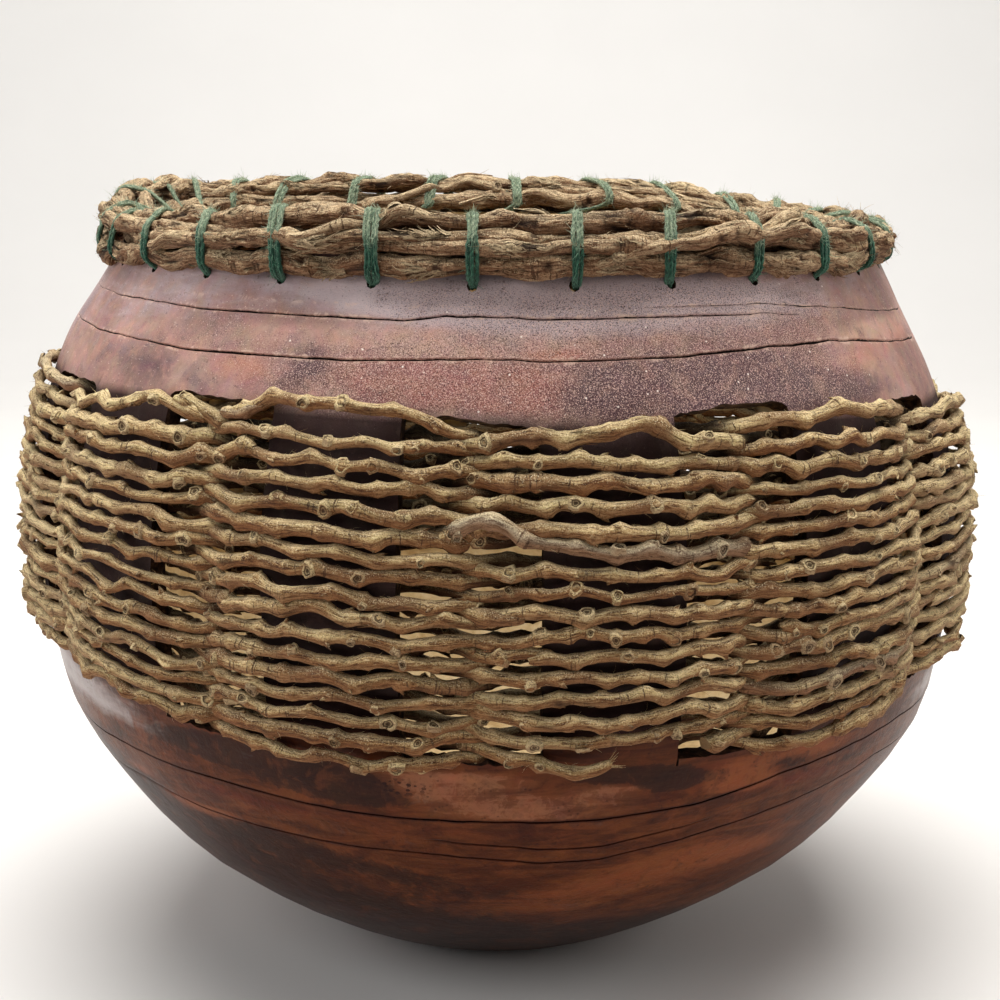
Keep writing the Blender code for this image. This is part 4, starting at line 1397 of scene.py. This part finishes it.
def gourd():
    rows, dist, strength, w0, w1, hrow = gourd_grid()
    J = len(rows)
    ang = np.repeat(ANGLES[None], J, 0)
    z = rows.copy()
    rng = np.random.default_rng(4242)
    period = COLS // RIBS
    win = (np.arange(COLS) % period >= 32) | (np.arange(COLS) % period <= 10)
    filled = np.ones((J - 1, COLS), bool)
    filled[w0:w1, win] = False
    # uneven sawn heads and sills: (angle in the window, height over the nominal edge)
    heads = {
        -1: ((-40, -0.5), (-37, -0.2), (-32, -0.3), (-25.6, -0.8), (-24.9, 1.2)),
        0: ((-10, -0.4), (-6, -0.6), (-1, -2.0), (5, -3.2)),
        1: ((20, 1.2), (24.6, 1.3), (26, 2.8), (31, 1.9), (35, 2.7)),
        2: ((50, -0.8), (54, -1.0), (60, -1.4), (65, -1.6)),
    }
    for i in range(RIBS):
        lo_c = (32 + period * i) % COLS
        cols = (lo_c + np.arange(22)) % COLS
        t = np.arange(22) / 21.0
        w = ANGLES[lo_c] + np.arange(22) * 360.0 / COLS
        idx = int(round((wrap(float(w.mean())) + 2.5) / 30.0))
        if idx in heads:
            pts = heads[idx]
            line = np.interp(wrap(w), [p[0] for p in pts], [p[1] for p in pts])
            line = level(w, WINDOW_Z1 + line) - z[w1, cols]
        else:
            line = rng.uniform(-1.2, 1.4) + rng.uniform(-1.4, 1.4) * (t - 0.5)
        line = line - 1.5 * np.exp(-t / 0.045) - 1.5 * np.exp(-(1 - t) / 0.045)
        jag = 0.15 * rng.normal(size=22)
        jag += np.repeat(rng.normal(0, 0.20, 8), 3)[:22]
        z[w1, cols] += line + jag
        z[w1 - 1, cols] += 0.0
        z[w1 + 1, cols] += (line + jag) * 0.45
        sag = rng.uniform(-0.5, 0.5) + rng.uniform(-1, 1) * (t - 0.5) * 1.2 + 0.25 * rng.normal(size=22)
        z[w0, cols] += sag - 0.2
        z[w0 - 1, cols] += sag * 0.4
        # saw cuts that ran on past the corners
        slits = NICKS.get(idx, ()) if abs(idx) < 3 else [
            (r_, b_) for r_ in (0, 1) for b_ in (0, 1) if rng.random() < 0.3
        ]
        for right in (0, 1):
            edge = cols[-1] if right else cols[0]
            cell = cols[-2] if right else cols[0]
            nxt = cols[-2] if right else cols[1]
            move = (-1 if right else 1) * 0.42 * 360.0 / COLS
            if (right, 0) in slits:
                filled[w0 - 1, cell] = False
                for jj in (w0 - 1, w0):
                    ang[jj, nxt] = ang[jj, edge] + move
                z[w0 - 1, [edge, nxt]] = z[w0, [edge, nxt]] - rng.uniform(1.6, 2.4)
            if (right, 1) in slits:
                filled[w1, cell] = False
                for jj in (w1, w1 + 1):
                    ang[jj, nxt] = ang[jj, edge] + move
                z[w1 + 1, [edge, nxt]] = z[w1, [edge, nxt]] + rng.uniform(1.2, 2.0)
    # jambs waver a little
    for i in range(RIBS):
        for c in ((32 + period * i) % COLS, (11 + period * i) % COLS):
            zz = rows[w0 : w1 + 1, c]
            ang[w0 : w1 + 1, c] += 0.10 * noise3(zz / 4.0, c, 0, 71) + 0.10 * noise3(zz / 19.0, c, 1, 71)
    # lash holes
    for k in range(STITCHES):
        c = 18 * k
        for dj in (-1, 0):
            for di in (-1, 0):
                filled[hrow + dj, (c + di) % COLS] = False
        rr = float(skin(HOLE_Z)[0])
        for dj in (-1, 0, 1):
            for di in (-1, 0, 1):
                if dj or di:
                    f = math.atan2(dj, di)
                    ang[hrow + dj, (c + di) % COLS] = ANGLES[c] + math.degrees(1.5 * math.cos(f) / rr)
                    z[hrow + dj, (c + di) % COLS] = HOLE_Z - 0.3 + 1.5 * math.sin(f)
    a = np.radians(ang)
    ca, sa = np.cos(a), np.sin(a)
    # slow dents and swellings, and the grooves and lips of the cracks
    d = 0.55 * noise3(ca * 2.2, sa * 2.2, z / 60.0, 51) + 0.28 * noise3(ca * 6, sa * 6, z / 22.0, 52)
    d *= smooth(z, 2.0, 20.0)
    absd = np.abs(dist)
    groove = np.clip(1 - absd / 0.36, 0, 1)
    d -= 0.95 * strength * groove
    lowbowl = z < 95
    step = np.where((absd < 3) & lowbowl & (dist > 0.1), 0.22 * np.clip(strength, 0, 1), 0.0)
    d += step
    r, nr, nz = skin(np.clip(z, 0, MOUTH_Z))
    outer = place(r + d * nr, ang, z + d * nz)
    din = -WALL + 0.30 * noise3(ca * 7, sa * 7, z / 18.0, 53) + 0.12 * noise3(ca * 30, sa * 30, z / 5.0, 54)
    inner = place(r + din * nr, ang, z + din * nz)
    inner[-1] = place(r[-1] - WALL / nr[-1], ang[-1], z[-1])
    inner[0] = place(r[0] - 3.5, ang[0], FLOOR)
    inner[1] = place(r[1] - 3.9, ang[1], FLOOR + 0.7)
    V = np.concatenate([outer.reshape(-1, 3), inner.reshape(-1, 3)])
    NI = J * COLS

    def o(j, i):
        return j * COLS + (i % COLS)

    jj, ii = np.nonzero(filled)
    q_out = np.stack([o(jj, ii), o(jj, ii + 1), o(jj + 1, ii + 1), o(jj + 1, ii)], -1)
    q_in = np.stack([o(jj, ii), o(jj + 1, ii), o(jj + 1, ii + 1), o(jj, ii + 1)], -1) + NI
    walls = []
    pad = np.zeros((J + 1, COLS), bool)
    pad[1:-1] = filled
    left = np.roll(filled, 1, axis=1)
    right = np.roll(filled, -1, axis=1)
    e = np.nonzero(filled & ~pad[:-2])  # nothing below
    keep = e[0] > 0
    j1, i1 = e[0][keep], e[1][keep]
    walls.append(np.stack([o(j1, i1 + 1), o(j1, i1), o(j1, i1) + NI, o(j1, i1 + 1) + NI], -1))
    j1, i1 = np.nonzero(filled & ~pad[2:])  # nothing above
    walls.append(np.stack([o(j1 + 1, i1), o(j1 + 1, i1 + 1), o(j1 + 1, i1 + 1) + NI, o(j1 + 1, i1) + NI], -1))
    j1, i1 = np.nonzero(filled & ~right)
    walls.append(np.stack([o(j1 + 1, i1 + 1), o(j1, i1 + 1), o(j1, i1 + 1) + NI, o(j1 + 1, i1 + 1) + NI], -1))
    j1, i1 = np.nonzero(filled & ~left)
    walls.append(np.stack([o(j1, i1), o(j1 + 1, i1), o(j1 + 1, i1) + NI, o(j1, i1) + NI], -1))
    walls = np.vstack(walls)

    # marks are placed by their height for a straight lean
    zz = z + (z - level(ang, z))
    # blotches of colour: (angle, height, half angle, half height, amount)
    scalar = SKIN_MAPS
    f = {n: np.zeros((J, COLS)) for n in scalar}
    f["crk"] = absd
    f["crs"] = strength
    patches = {
        "purple": (
            (-44, 214, 12, 9, 0.25), (-14, 207, 9, 3.0, 0.25), (14, 198, 9, 9, 0.50), (24, 193, 10, 7, 1.05), (33, 196, 9, 8, 1.0),
            (42, 192, 8, 6, 0.5), (-41, 193.5, 7, 5, 0.52), (-22, 197, 3.5, 7, 0.85), (55, 207, 8, 6, 0.3), (66, 196, 8, 8, 0.25), (-52, 192, 8, 5, 0.32),
            (-2, 213, 7, 2.5, 0.15), (27, 210, 9, 3, 0.35), (-13, 215, 8, 4, 0.4), (14, 215, 8, 4, 0.4),
            (14, 192, 8, 6, 0.6), (50, 192, 8, 6, 0.5), (-50, 200, 10, 6, 0.3), (20, 200, 7, 4, 0.3), (30, 202, 7, 3, 0.3),
        ),
        "tan": (
            (-20, 206, 11, 3.6, 0.7), (-9, 206, 9, 3.4, 0.8), (-1, 206, 9, 3.6, 1.2), (-30, 205, 8, 4, 0.45), (57, 206, 8, 3.4, 1.3),
            (48, 199, 8, 4, 0.6), (68, 206, 9, 4, 0.8), (-62, 206, 16, 12, 0.30), (-25, 196, 6, 5, 0.55), (10, 207, 8, 3, 0.5), (30, 206, 8, 3, 0.4),
            (-4, 90, 10, 3.5, 0.9), (-9, 86, 8, 3.5, 0.35), (3, 81, 13, 3.4, 0.95), (14, 86.5, 7, 2.6, 0.75), (2, 72.0, 10, 3, 0.35),
        ),
        "orange": (
            (-31, 196.5, 7, 6, 0.70), (7, 203.5, 5, 2.2, 0.95), (-8, 193, 7, 6, 0.55), (54, 201, 8, 5, 0.62), (46, 196, 6, 4, 0.55), (66, 203, 6, 4, 0.5),
            (17, 205.5, 4, 2.0, 0.6), (27, 204, 4, 2.5, 0.5),
            (27, 87, 6, 4, 0.9), (31, 84, 5, 4, 0.7), (-2, 91, 9, 3, 0.5), (40, 92, 7, 3, 1.0), (29, 92, 5, 3, 0.6), (-44, 84, 8, 2.5, 0.4), (-30, 72, 9, 3, 0.45),
            (-22, 66, 6, 3, 0.4), (20, 52, 16, 9, 0.62), (8, 44, 16, 8, 0.48), (30, 60, 12, 7, 0.60), (40, 56, 10, 6, 0.45), (-4, 57, 9, 4, 0.3), (52, 78, 8, 3, 0.5),
            (-40, 66, 10, 2.2, 0.9), (-52, 72, 8, 2.5, 0.8),
        ),
        "red": (
            (-4, 196, 11, 6, 0.95), (3, 194, 8, 6, 0.9), (-13, 196, 8, 6, 0.8), (44, 198, 8, 5, 0.5), (22, 208, 12, 3.5, 0.35), (38, 209, 8, 3, 0.45),
            (20, 86, 6, 3.5, 0.5), (24, 91, 5, 3, 0.7), (38, 83, 10, 3, 0.8), (14, 81, 9, 2.5, 0.4), (-25, 75, 12, 2.5, 0.6), (0, 73, 16, 2.5, 0.5),
            (50, 72, 9, 5, 0.6), (-38, 76, 9, 3, 0.5),
        ),
        "dark": (
            (-36, 90, 9, 3.8, 1.1), (-26, 88, 8, 4.8, 1.25), (-18, 86, 6, 5.0, 1.15), (-14, 83, 4, 3.5, 0.9), (-52, 84, 8, 4, 0.6),
            (11, 93, 7, 2.2, 0.95), (16, 91, 5, 2.5, 0.8), (20, 90, 3.5, 3, 0.9), (19, 87, 3, 3, 0.5), (23, 88.5, 4.5, 2.4, 0.55),
            (-6, 84, 3.0, 2.0, 0.7), (35, 90, 7, 2.4, 0.75), (46, 85, 8, 2.5, 0.6),
            (-22, 58, 12, 4, 0.6), (-12, 53, 10, 3, 0.7), (-2, 50, 9, 2.5, 0.5), (-34, 60, 10, 4, 0.6), (-42, 50, 14, 8, 0.9), (-24, 38, 16, 8, 0.6),
            # the wide patches low on the bowl, at (0, 18) and (-30, 30), are painted shade: the bowl darker towards the
            # bottom
            (40, 68, 7, 3, 0.5), (48, 62, 9, 4, 0.6), (60, 70, 9, 8, 0.6), (-60, 64, 13, 12, 1.2), (-52, 38, 22, 14, 1.0), (0, 18, 60, 14, 1.1), (-30, 30, 30, 10, 0.8),
            (-30, 64, 7, 2, 0.6), (6, 60, 8, 2, 0.3),
        ),
        "speck": (
            (-4, 196, 15, 10, 0.9), (12, 198, 14, 11, 1.0), (30, 200, 16, 14, 1.0), (14, 214, 18, 7, 0.95), (36, 214, 14, 7, 0.85), (-20, 194, 10, 7, 0.6),
            (44, 194, 8, 7, 0.6), (-36, 203, 14, 8, 0.3), (-10, 216, 9, 5, 0.50), (20, 207, 16, 6, 0.5), (-6, 204, 10, 5, 0.35),
        ),
        # pale dust, and painted sheen: painted reflections of the lamps at the sides of the bowl and collar, and
        # painted light close under the rim
        "dust_and_sheen": (
            (-24, 218, 12, 6, 0.40), (-8, 217, 14, 7, 1.25), (8, 216, 14, 7, 1.2), (24, 216, 14, 7, 0.9), (40, 216, 12, 7, 0.4), (-46, 215, 14, 10, 0.4),
            (-76, 97, 12, 7, 0.80), (-62, 94.5, 12, 5.5, 0.85), (-51, 91.5, 9, 3.6, 0.6), (-60, 206, 14, 12, 0.3), (80, 98, 13, 7, 0.85), (66, 96, 8, 4, 0.5), (68, 80, 7, 3.5, 0.35), (-84, 206, 12, 16, 0.8), (84, 206, 14, 14, 0.35),
        ),
        "dots": ((-11.5, 86.2, 3.5, 1.6, 1.0), (-6.5, 85.0, 4.0, 1.6, 0.9), (0.0, 86.0, 2.5, 1.2, 0.6), (-2.5, 92.5, 3.0, 1.2, 0.8)),
    }
    for name, spots in patches.items():
        for a0, z0, wa, wz, amt in spots:
            f[name] += amt * bump_at(ang, zz, a0, z0, wa, wz)
    # the sides and back have the same kinds of blotch, scattered
    back = 1 - smooth(np.abs(wrap(ang)), 80.0, 62.0)
    kinds = (("purple", 46, 188, 224, 0.8), ("tan", 30, 190, 216, 0.7), ("orange", 26, 188, 210, 0.8), ("red", 30, 188, 212, 0.7),
             ("dark", 60, 24, 95, 0.9), ("orange", 34, 34, 94, 0.8), ("red", 40, 40, 94, 0.7), ("tan", 10, 80, 94, 0.7))
    for name, count, zlo, zhi, amt in kinds:
        part = np.zeros_like(zz)
        for _ in range(count):
            part += rng.uniform(0.4, 1.0) * amt * bump_at(
                ang, zz, rng.uniform(-180, 180), rng.uniform(zlo, zhi), rng.uniform(5, 13), rng.uniform(2.5, 8)
            )
        f[name] += part * back
    f["speck"] += back * (0.35 + 0.35 * noise3(ca * 3, sa * 3, zz / 30.0, 57)) * smooth(zz, 150, 190)
    # pale dust with painted sheen, mostly in a band under the rim
    f["dust_and_sheen"] += (0.06 + 0.24 * smooth(zz, 209, 222) * smooth(zz, 227, 221)) * (1 + 0.5 * noise3(ca * 2.5, sa * 2.5, zz / 40.0, 58))
    sill, head = slide(WINDOW_Z0, ang), slide(WINDOW_Z1, ang)
    # painted shade on the ribs behind the weave, from the sill up to the head
    f["rib"] = smooth(z, sill - 0.5, sill + 11.0) * smooth(z, head + 0.5, head - 3.0)
    # painted shadow close under the rim
    shade = 0.20 + 0.60 * smooth(np.abs(wrap(ang)), 46.0, 24.0)
    f["rib"] = np.maximum(f["rib"], shade * smooth(z + 0.5 * noise3(ca * 20, sa * 20, 0.5, 66), 220.0, 222.4))
    f["gloss"] = smooth(z - sill, 40.0, 18.0)
    inner_f = {n: np.zeros((J, COLS)) for n in scalar}
    b = Build(vector=(), scalar=scalar)
    at = {n: np.concatenate([f[n].ravel(), inner_f[n].ravel()]) for n in scalar}
    quads = np.vstack([q_out, q_in, walls])
    qm = np.concatenate([np.where(jj < w0 + 6, 3, 0), np.ones(len(q_in)), np.full(len(walls), 2)]).astype(int)
    b.add(V, quads, **at)
    b.qm[-1] = qm
    # the foot's underside and the floor inside
    for top, flip, mat in ((outer[0], True, 3), (inner[0], False, 1)):
        base = 0 if flip else NI
        ring = np.arange(COLS)
        prev = ring + base
        centre = top.mean(0)
        for share in (0.78, 0.5, 0.2):
            pos = centre + (top - centre) * share
            pos[:, 2] += (0.0002 if flip else -0.0003) * (1 - share)
            start = b.n
            b.add(pos, gloss=1.0, dark=0.4)
            cur = start + ring
            nx = (ring + 1) % COLS
            if flip:
                b.q.append(np.stack([prev[nx], prev[ring], cur[ring], cur[nx]], -1))
            else:
                b.q.append(np.stack([prev[ring], prev[nx], cur[nx], cur[ring]], -1))
            b.qm.append(np.full(COLS, mat))
            prev = cur
        b.add(centre + np.array([0, 0, 0.0002 if flip else -0.0004]), gloss=1.0, dark=0.4)
        c = b.n - 1
        nx = (ring + 1) % COLS
        tri = np.stack([prev[nx], prev[ring], np.full(COLS, c)], -1) if flip else np.stack([prev[ring], prev[nx], np.full(COLS, c)], -1)
        b.t.append(tri)
        b.tm.append(np.full(COLS, mat))
    ob = b.make("gourd", [gourd_skin("gourd_collar", 0.24), gourd_inside(), gourd_cut(), gourd_skin("gourd_bowl", 0.07)], 38)
    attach(ob, "root")
    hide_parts("gourd_shell")
    return ob


def gourd_skin(name, shine):
    m = Mat(name)
    pos = m.mapping(m.new("ShaderNodeTexCoord").outputs["Object"], (1000, 1000, 1000))
    A = {n: m.attr(n) for n in SKIN_MAPS}
    big = m.noise(pos, 0.030, 4.0, 0.6, 0.6)
    streak = m.noise(m.mapping(pos, (0.045, 0.045, 0.22)), 1.0, 5.0, 0.66, 0.8)
    mid = m.noise(pos, 0.13, 6.0, 0.64, 0.4)
    edge_noise = m.noise(pos, 0.21, 8.0, 0.68, 0.7)
    fine = m.noise(pos, 0.9, 4.0, 0.65)
    grit = m.noise(pos, 2.3, 1.0, 0.5)
    hue = m.noise(pos, 0.16, 4.0, 0.6, 0.5, out="Color")
    low = A["gloss"]
    high = m.math("SUBTRACT", 1.0, low)

    def patch(name, a, b, edge=0.55):
        v = m.add(A[name], m.mul(m.add(m.add(mid, m.mul(streak, 0.8)), -0.9), edge))
        return m.span(v, a, b)

    def island(name, level_, width=0.10, edge=1.7):
        """Blotch with a crisp, ragged edge like a lichen's."""
        v = m.add(A[name], m.mul(m.add(m.add(m.mul(edge_noise, 0.7), m.mul(streak, 0.3)), -0.5), edge))
        return m.span(v, level_, level_ + width)

    # the collar: dusty mauve brown; the bowl: waxed red brown
    collar = m.mix(m.span(big, 0.38, 0.62), rgb(140, 106, 99), rgb(168, 132, 121))
    bowl = m.mix(m.span(streak, 0.36, 0.64), rgb(66, 31, 17), rgb(94, 49, 24))
    col = m.mix(low, collar, bowl)
    col = m.mix(m.mul(patch("tan", 0.25, 0.95), 0.80), col, m.mix(low, rgb(190, 152, 137), rgb(136, 84, 58)))
    col = m.mix(m.mul(patch("orange", 0.25, 0.95), 0.70), col, m.mix(low, rgb(192, 124, 98), rgb(128, 66, 34)))
    col = m.mix(m.mul(patch("red", 0.25, 0.95), 0.72), col, m.mix(low, rgb(156, 98, 88), rgb(90, 34, 22)))
    col = m.mix(m.mul(patch("purple", 0.20, 0.80), 0.88), col, m.mix(low, rgb(78, 57, 66), rgb(58, 36, 37)))
    col = m.mix(m.mul(patch("dark", 0.25, 0.90, 0.7), 0.60), col, m.mix(low, rgb(66, 48, 50), rgb(32, 20, 18)))
    col = m.mix(m.mul(island("dark", 0.46), 0.50), col, m.mix(low, rgb(70, 52, 54), rgb(34, 20, 17)))
    col = m.mix(m.mul(m.mul(island("orange", 0.50, 0.20), low), 0.30), col, rgb(132, 76, 46))
    col = m.mix(m.mul(m.mul(island("tan", 0.50, 0.20), low), 0.42), col, rgb(152, 100, 74))
    # cloudy variation
    col = m.mix(m.mul(m.span(mid, 0.52, 0.66), 0.38), col, m.mix(low, rgb(108, 84, 88), rgb(42, 18, 14)))
    col = m.mix(m.mul(m.span(mid, 0.47, 0.34), m.add(m.mul(low, -0.10), 0.32)), col, m.mix(low, rgb(204, 158, 140), rgb(124, 66, 36)))
    col = m.mix(m.mul(m.span(edge_noise, 0.56, 0.62), 0.20), col, m.mix(low, rgb(118, 92, 96), rgb(40, 22, 17)))
    col = m.mix(m.mul(m.span(edge_noise, 0.43, 0.37), m.add(m.mul(low, -0.08), 0.18)), col, m.mix(low, rgb(206, 152, 130), rgb(124, 66, 38)))
    col = m.mix(m.mix(low, (0.24,) * 3, (0.16,) * 3), col, hue, "OVERLAY")
    # the pale bloom of dust and old wax, with painted sheen: painted reflections of the lamps
    col = m.mix(m.mul(patch("dust_and_sheen", 0.18, 1.08, 0.85), 0.77), col, m.mix(low, rgb(208, 192, 196), rgb(176, 166, 164)))
    # freckles, pits and the pale dust that sits on them
    cell = m.cells(pos, 0.62)
    dots = m.mul(m.span(cell, 0.30, 0.16), m.span(mid, 0.50, 0.60))
    col = m.mix(m.mul(dots, 0.45), col, m.mix(low, rgb(84, 54, 50), rgb(40, 20, 16)))
    blot = m.cells(m.mapping(pos, (0.75, 0.75, 1.0)), 0.75)
    blotm = m.mul(m.span(m.add(blot, m.mul(m.add(fine, -0.5), 0.5)), 0.42, 0.34), m.span(A["dots"], 0.15, 0.6))
    col = m.mix(m.mul(blotm, 0.85), col, rgb(38, 20, 17))
    thick = m.span(m.add(A["speck"], m.mul(m.add(mid, -0.5), 1.1)), 0.05, 0.95, 0.0, 1.0)
    thick = m.mul(thick, high)
    soft = m.noise(m.mapping(pos, (1, 1, 1), (31, 7, 3)), 3.2, 1.0, 0.5)
    col = m.mix(m.mul(thick, 0.14), col, rgb(92, 62, 64))
    grain = m.mul(m.add(soft, -0.5), m.add(m.mul(thick, 1.9), 0.55))
    col = m.mix(m.mul(m.span(grain, 0.04, 0.55, 0.0, 1.0, "LINEAR"), high), col, rgb(216, 180, 166))
    col = m.mix(m.mul(m.span(grain, -0.04, -0.55, 0.0, 1.0, "LINEAR"), high), col, rgb(62, 34, 33))
    share = m.add(m.mul(thick, 0.66), 0.10)
    pale = m.mul(m.flecks(pos, 1.45, share, 0.16, 0.30), high)
    pale = m.mul(pale, m.span(soft, 0.35, 0.55, 0.45, 1.0))
    dark = m.mul(m.flecks(m.mapping(pos, (1, 1, 1), (17, 3, 41)), 1.25, m.mul(share, 0.9), 0.18, 0.32), high)
    col = m.mix(m.mul(pale, 0.66), col, rgb(228, 200, 190))
    col = m.mix(m.mul(dark, 0.30), col, rgb(66, 36, 36))
    starm = m.mul(m.flecks(m.mapping(pos, (1, 1, 1), (5, 9, 2)), 0.36, m.mul(share, 0.35), 0.07, 0.13), high)
    col = m.mix(m.mul(starm, 0.9), col, rgb(246, 234, 224))
    # short scratches
    scr = m.noise(m.mapping(pos, (0.16, 0.16, 2.4)), 1.0, 1.0, 0.5, 0.8)
    scrm = m.mul(m.mul(m.span(scr, 0.70, 0.76), m.span(mid, 0.5, 0.6)), high)
    col = m.mix(m.mul(scrm, 0.5), col, rgb(222, 190, 172))
    # painted shade on the ribs behind the weave, and painted shadow under the rim
    rib = m.mul(A["rib"], m.span(mid, 0.30, 0.60, 0.90, 1.0))
    col = m.mix(m.mul(rib, 0.93), col, m.mix(m.span(mid, 0.42, 0.58), rgb(27, 17, 17), rgb(46, 30, 29)))
    # cracks, with pale chipped edges here and there
    width = m.add(m.mul(A["crs"], m.add(m.mul(low, 0.13), 0.15)), m.mul(m.add(m.add(fine, mid), -1.0), 0.42))
    crack = m.mul(m.span(m.math("SUBTRACT", A["crk"], width), 0.09, -0.03), m.span(A["crs"], 0.05, 0.25))
    halo = m.mul(m.span(m.math("SUBTRACT", A["crk"], width), 0.75, 0.1), m.span(A["crs"], 0.05, 0.5))
    col = m.mix(m.mul(halo, m.add(m.mul(low, 0.35), 0.30)), col, m.mix(low, rgb(176, 134, 118), rgb(44, 18, 13)))
    chip = m.mul(m.mul(m.span(A["crk"], 1.4, 0.5), m.span(edge_noise, 0.53, 0.60)), m.mul(m.span(A["crs"], 0.05, 0.3), high))
    col = m.mix(m.mul(chip, 0.55), col, rgb(224, 192, 172))
    faded = m.mul(low, m.span(m.add(m.mul(mid, 0.6), m.mul(big, 0.4)), 0.44, 0.56, 0.0, 0.50))
    col = m.mix(m.mul(crack, m.math("SUBTRACT", 1.0, faded)), col, m.mix(low, rgb(18, 10, 8), rgb(24, 11, 8)))
    rough = m.mix(low, m.mix(fine, (0.46,) * 3, (0.64,) * 3), m.mix(fine, (0.26,) * 3, (0.42,) * 3))
    rough = m.math("ADD", m.new("ShaderNodeRGBToBW", {0: rough}).outputs[0], m.mul(pale, 0.2))
    rough = m.math("ADD", rough, m.mul(rib, 0.35))
    h = m.add(m.mul(fine, 0.30), m.mul(pale, 0.4))
    h = m.add(h, m.mul(dark, -0.35))
    h = m.add(h, m.mul(grit, 0.15))
    nrm = m.bump(h, 0.00028, 0.8)
    nrm = m.bump(mid, 0.0012, 0.30, nrm)
    return m.set(Base_Color=col, Roughness=rough, Normal=nrm, Specular_IOR_Level=shine)


def gourd_inside():
    m = Mat("gourd_inside")
    pos = m.mapping(m.new("ShaderNodeTexCoord").outputs["Object"], (1000, 1000, 1000))
    n = m.noise(pos, 0.10, 5.0, 0.6)
    fine = m.noise(pos, 0.8, 4.0, 0.65)
    fib = m.noise(m.mapping(pos, (0.20, 0.20, 0.26)), 1.0, 4.0, 0.6, 1.0)
    col = m.ramp(m.add(m.mul(n, 0.6), m.mul(fib, 0.4)), [(0.38, rgb(182, 152, 106)), (0.52, rgb(210, 186, 142)), (0.66, rgb(224, 206, 168))])
    col = m.mix(m.mul(m.span(fine, 0.58, 0.75), 0.35), col, rgb(170, 136, 92))
    nrm = m.bump(m.add(fib, m.mul(fine, 0.4)), 0.0008, 0.7)
    return m.set(Base_Color=col, Roughness=0.88, Normal=nrm, Specular_IOR_Level=0.25)


def gourd_cut():
    m = Mat("gourd_cut_edge")
    pos = m.mapping(m.new("ShaderNodeTexCoord").outputs["Object"], (1000, 1000, 1000))
    n = m.noise(pos, 0.5, 4.0, 0.6)
    col = m.ramp(n, [(0.38, rgb(34, 22, 18)), (0.55, rgb(66, 44, 32)), (0.70, rgb(104, 78, 54))])
    nrm = m.bump(n, 0.0006, 0.8)
    return m.set(Base_Color=col, Roughness=0.9, Normal=nrm, Specular_IOR_Level=0.2)


gourd()


# ---------------------------------------------------------------- stage, light, camera
def backdrop():
    """A pale seamless sweep: floor, curve and wall."""
    b = Build(vector=(), scalar=())
    prof = [(-16.0, 3.2), (-16.0, 2.0), (-15.7, 1.0), (-15.0, 0.27), (-14.0, 0.0), (-5.0, 0.0), (-1.0, 0.0), (0.6, 0.0), (1.2, 0.0)]
    for t in np.linspace(0, 90, 13)[1:]:
        prof.append((1.2 + 0.9 * math.sin(math.radians(t)), 0.9 - 0.9 * math.cos(math.radians(t))))
    prof.append((2.1, 3.2))
    half = [(0.0, 0.0), (2.5, 0.0), (6.0, 0.0), (14.0, 0.0), (15.0, 0.27), (15.7, 1.0), (16.0, 2.0), (16.0, 3.2)]
    xs = [(-x, h) for x, h in half[:0:-1]] + half
    V = np.array([(x, y, max(z, h)) for y, z in prof for x, h in xs])
    nx = len(xs)
    quads = [
        (j * nx + i, j * nx + i + 1, (j + 1) * nx + i + 1, (j + 1) * nx + i)
        for j in range(len(prof) - 1)
        for i in range(nx - 1)
    ]
    b.add(V, quads)
    m = Mat("pale_paper")
    pos = m.new("ShaderNodeTexCoord").outputs["Object"]
    n = m.noise(pos, 6.0, 3.0, 0.5)
    m.set(Base_Color=m.mix(n, rgb(232, 230, 227), rgb(238, 236, 233)), Roughness=0.85, Specular_IOR_Level=0.2)
    ob = b.make("backdrop", [m.m], None)
    ob.location.z = -0.0002


def lamp(name, place_at, look_at, size, power, colour=(1, 1, 1), size_y=None):
    data = bpy.data.lights.new(name, "AREA")
    data.shape = "RECTANGLE"
    data.size = size
    data.size_y = size_y or size
    data.energy = power
    data.color = colour
    ob = bpy.data.objects.new(name, data)
    ob.location = place_at
    ob.rotation_euler = (Vector(look_at) - Vector(place_at)).to_track_quat("-Z", "Y").to_euler()
    bpy.context.scene.collection.objects.link(ob)


backdrop()
lamp("overhead", (0.0, -0.06, 1.35), (0, 0, 0.15), 1.3, 27.0, (1.0, 0.98, 0.95), 0.9)
lamp("front_left", (-0.75, -1.0, 0.95), (0, 0, 0.13), 0.7, 3.4, (1.0, 0.98, 0.96))
lamp("side_left", (-1.15, -0.10, 0.38), (0, 0, 0.12), 0.45, 4.2, (0.95, 0.97, 1.0), 0.8)
lamp("side_right", (1.15, -0.10, 0.42), (0, 0, 0.12), 0.45, 3.6, (1.0, 0.97, 0.94), 0.8)
lamp("backdrop_wash", (0.0, 0.85, 1.9), (0, 2.1, 0.7), 1.6, 22.0, (1.0, 0.99, 0.98), 0.4)
world = bpy.data.worlds.new("studio")
world.use_nodes = True
world.node_tree.nodes["Background"].inputs[0].default_value = (0.80, 0.81, 0.83, 1)
world.node_tree.nodes["Background"].inputs[1].default_value = 0.13
bpy.context.scene.world = world
bpy.context.scene.view_settings.view_transform = "Standard"
bpy.context.scene.view_settings.look = "None"

cam_data = bpy.data.cameras.new("camera")
cam_data.lens = 72.18
cam_data.sensor_width = 36.0
cam_data.clip_start = 0.01
cam_data.clip_end = 50.0
cam = bpy.data.objects.new("camera", cam_data)
cam.location = (0.001, -0.651, 0.2658)
cam.rotation_euler = (math.radians(90 - 11.01), 0, 0)
bpy.context.scene.collection.objects.link(cam)
bpy.context.scene.camera = cam
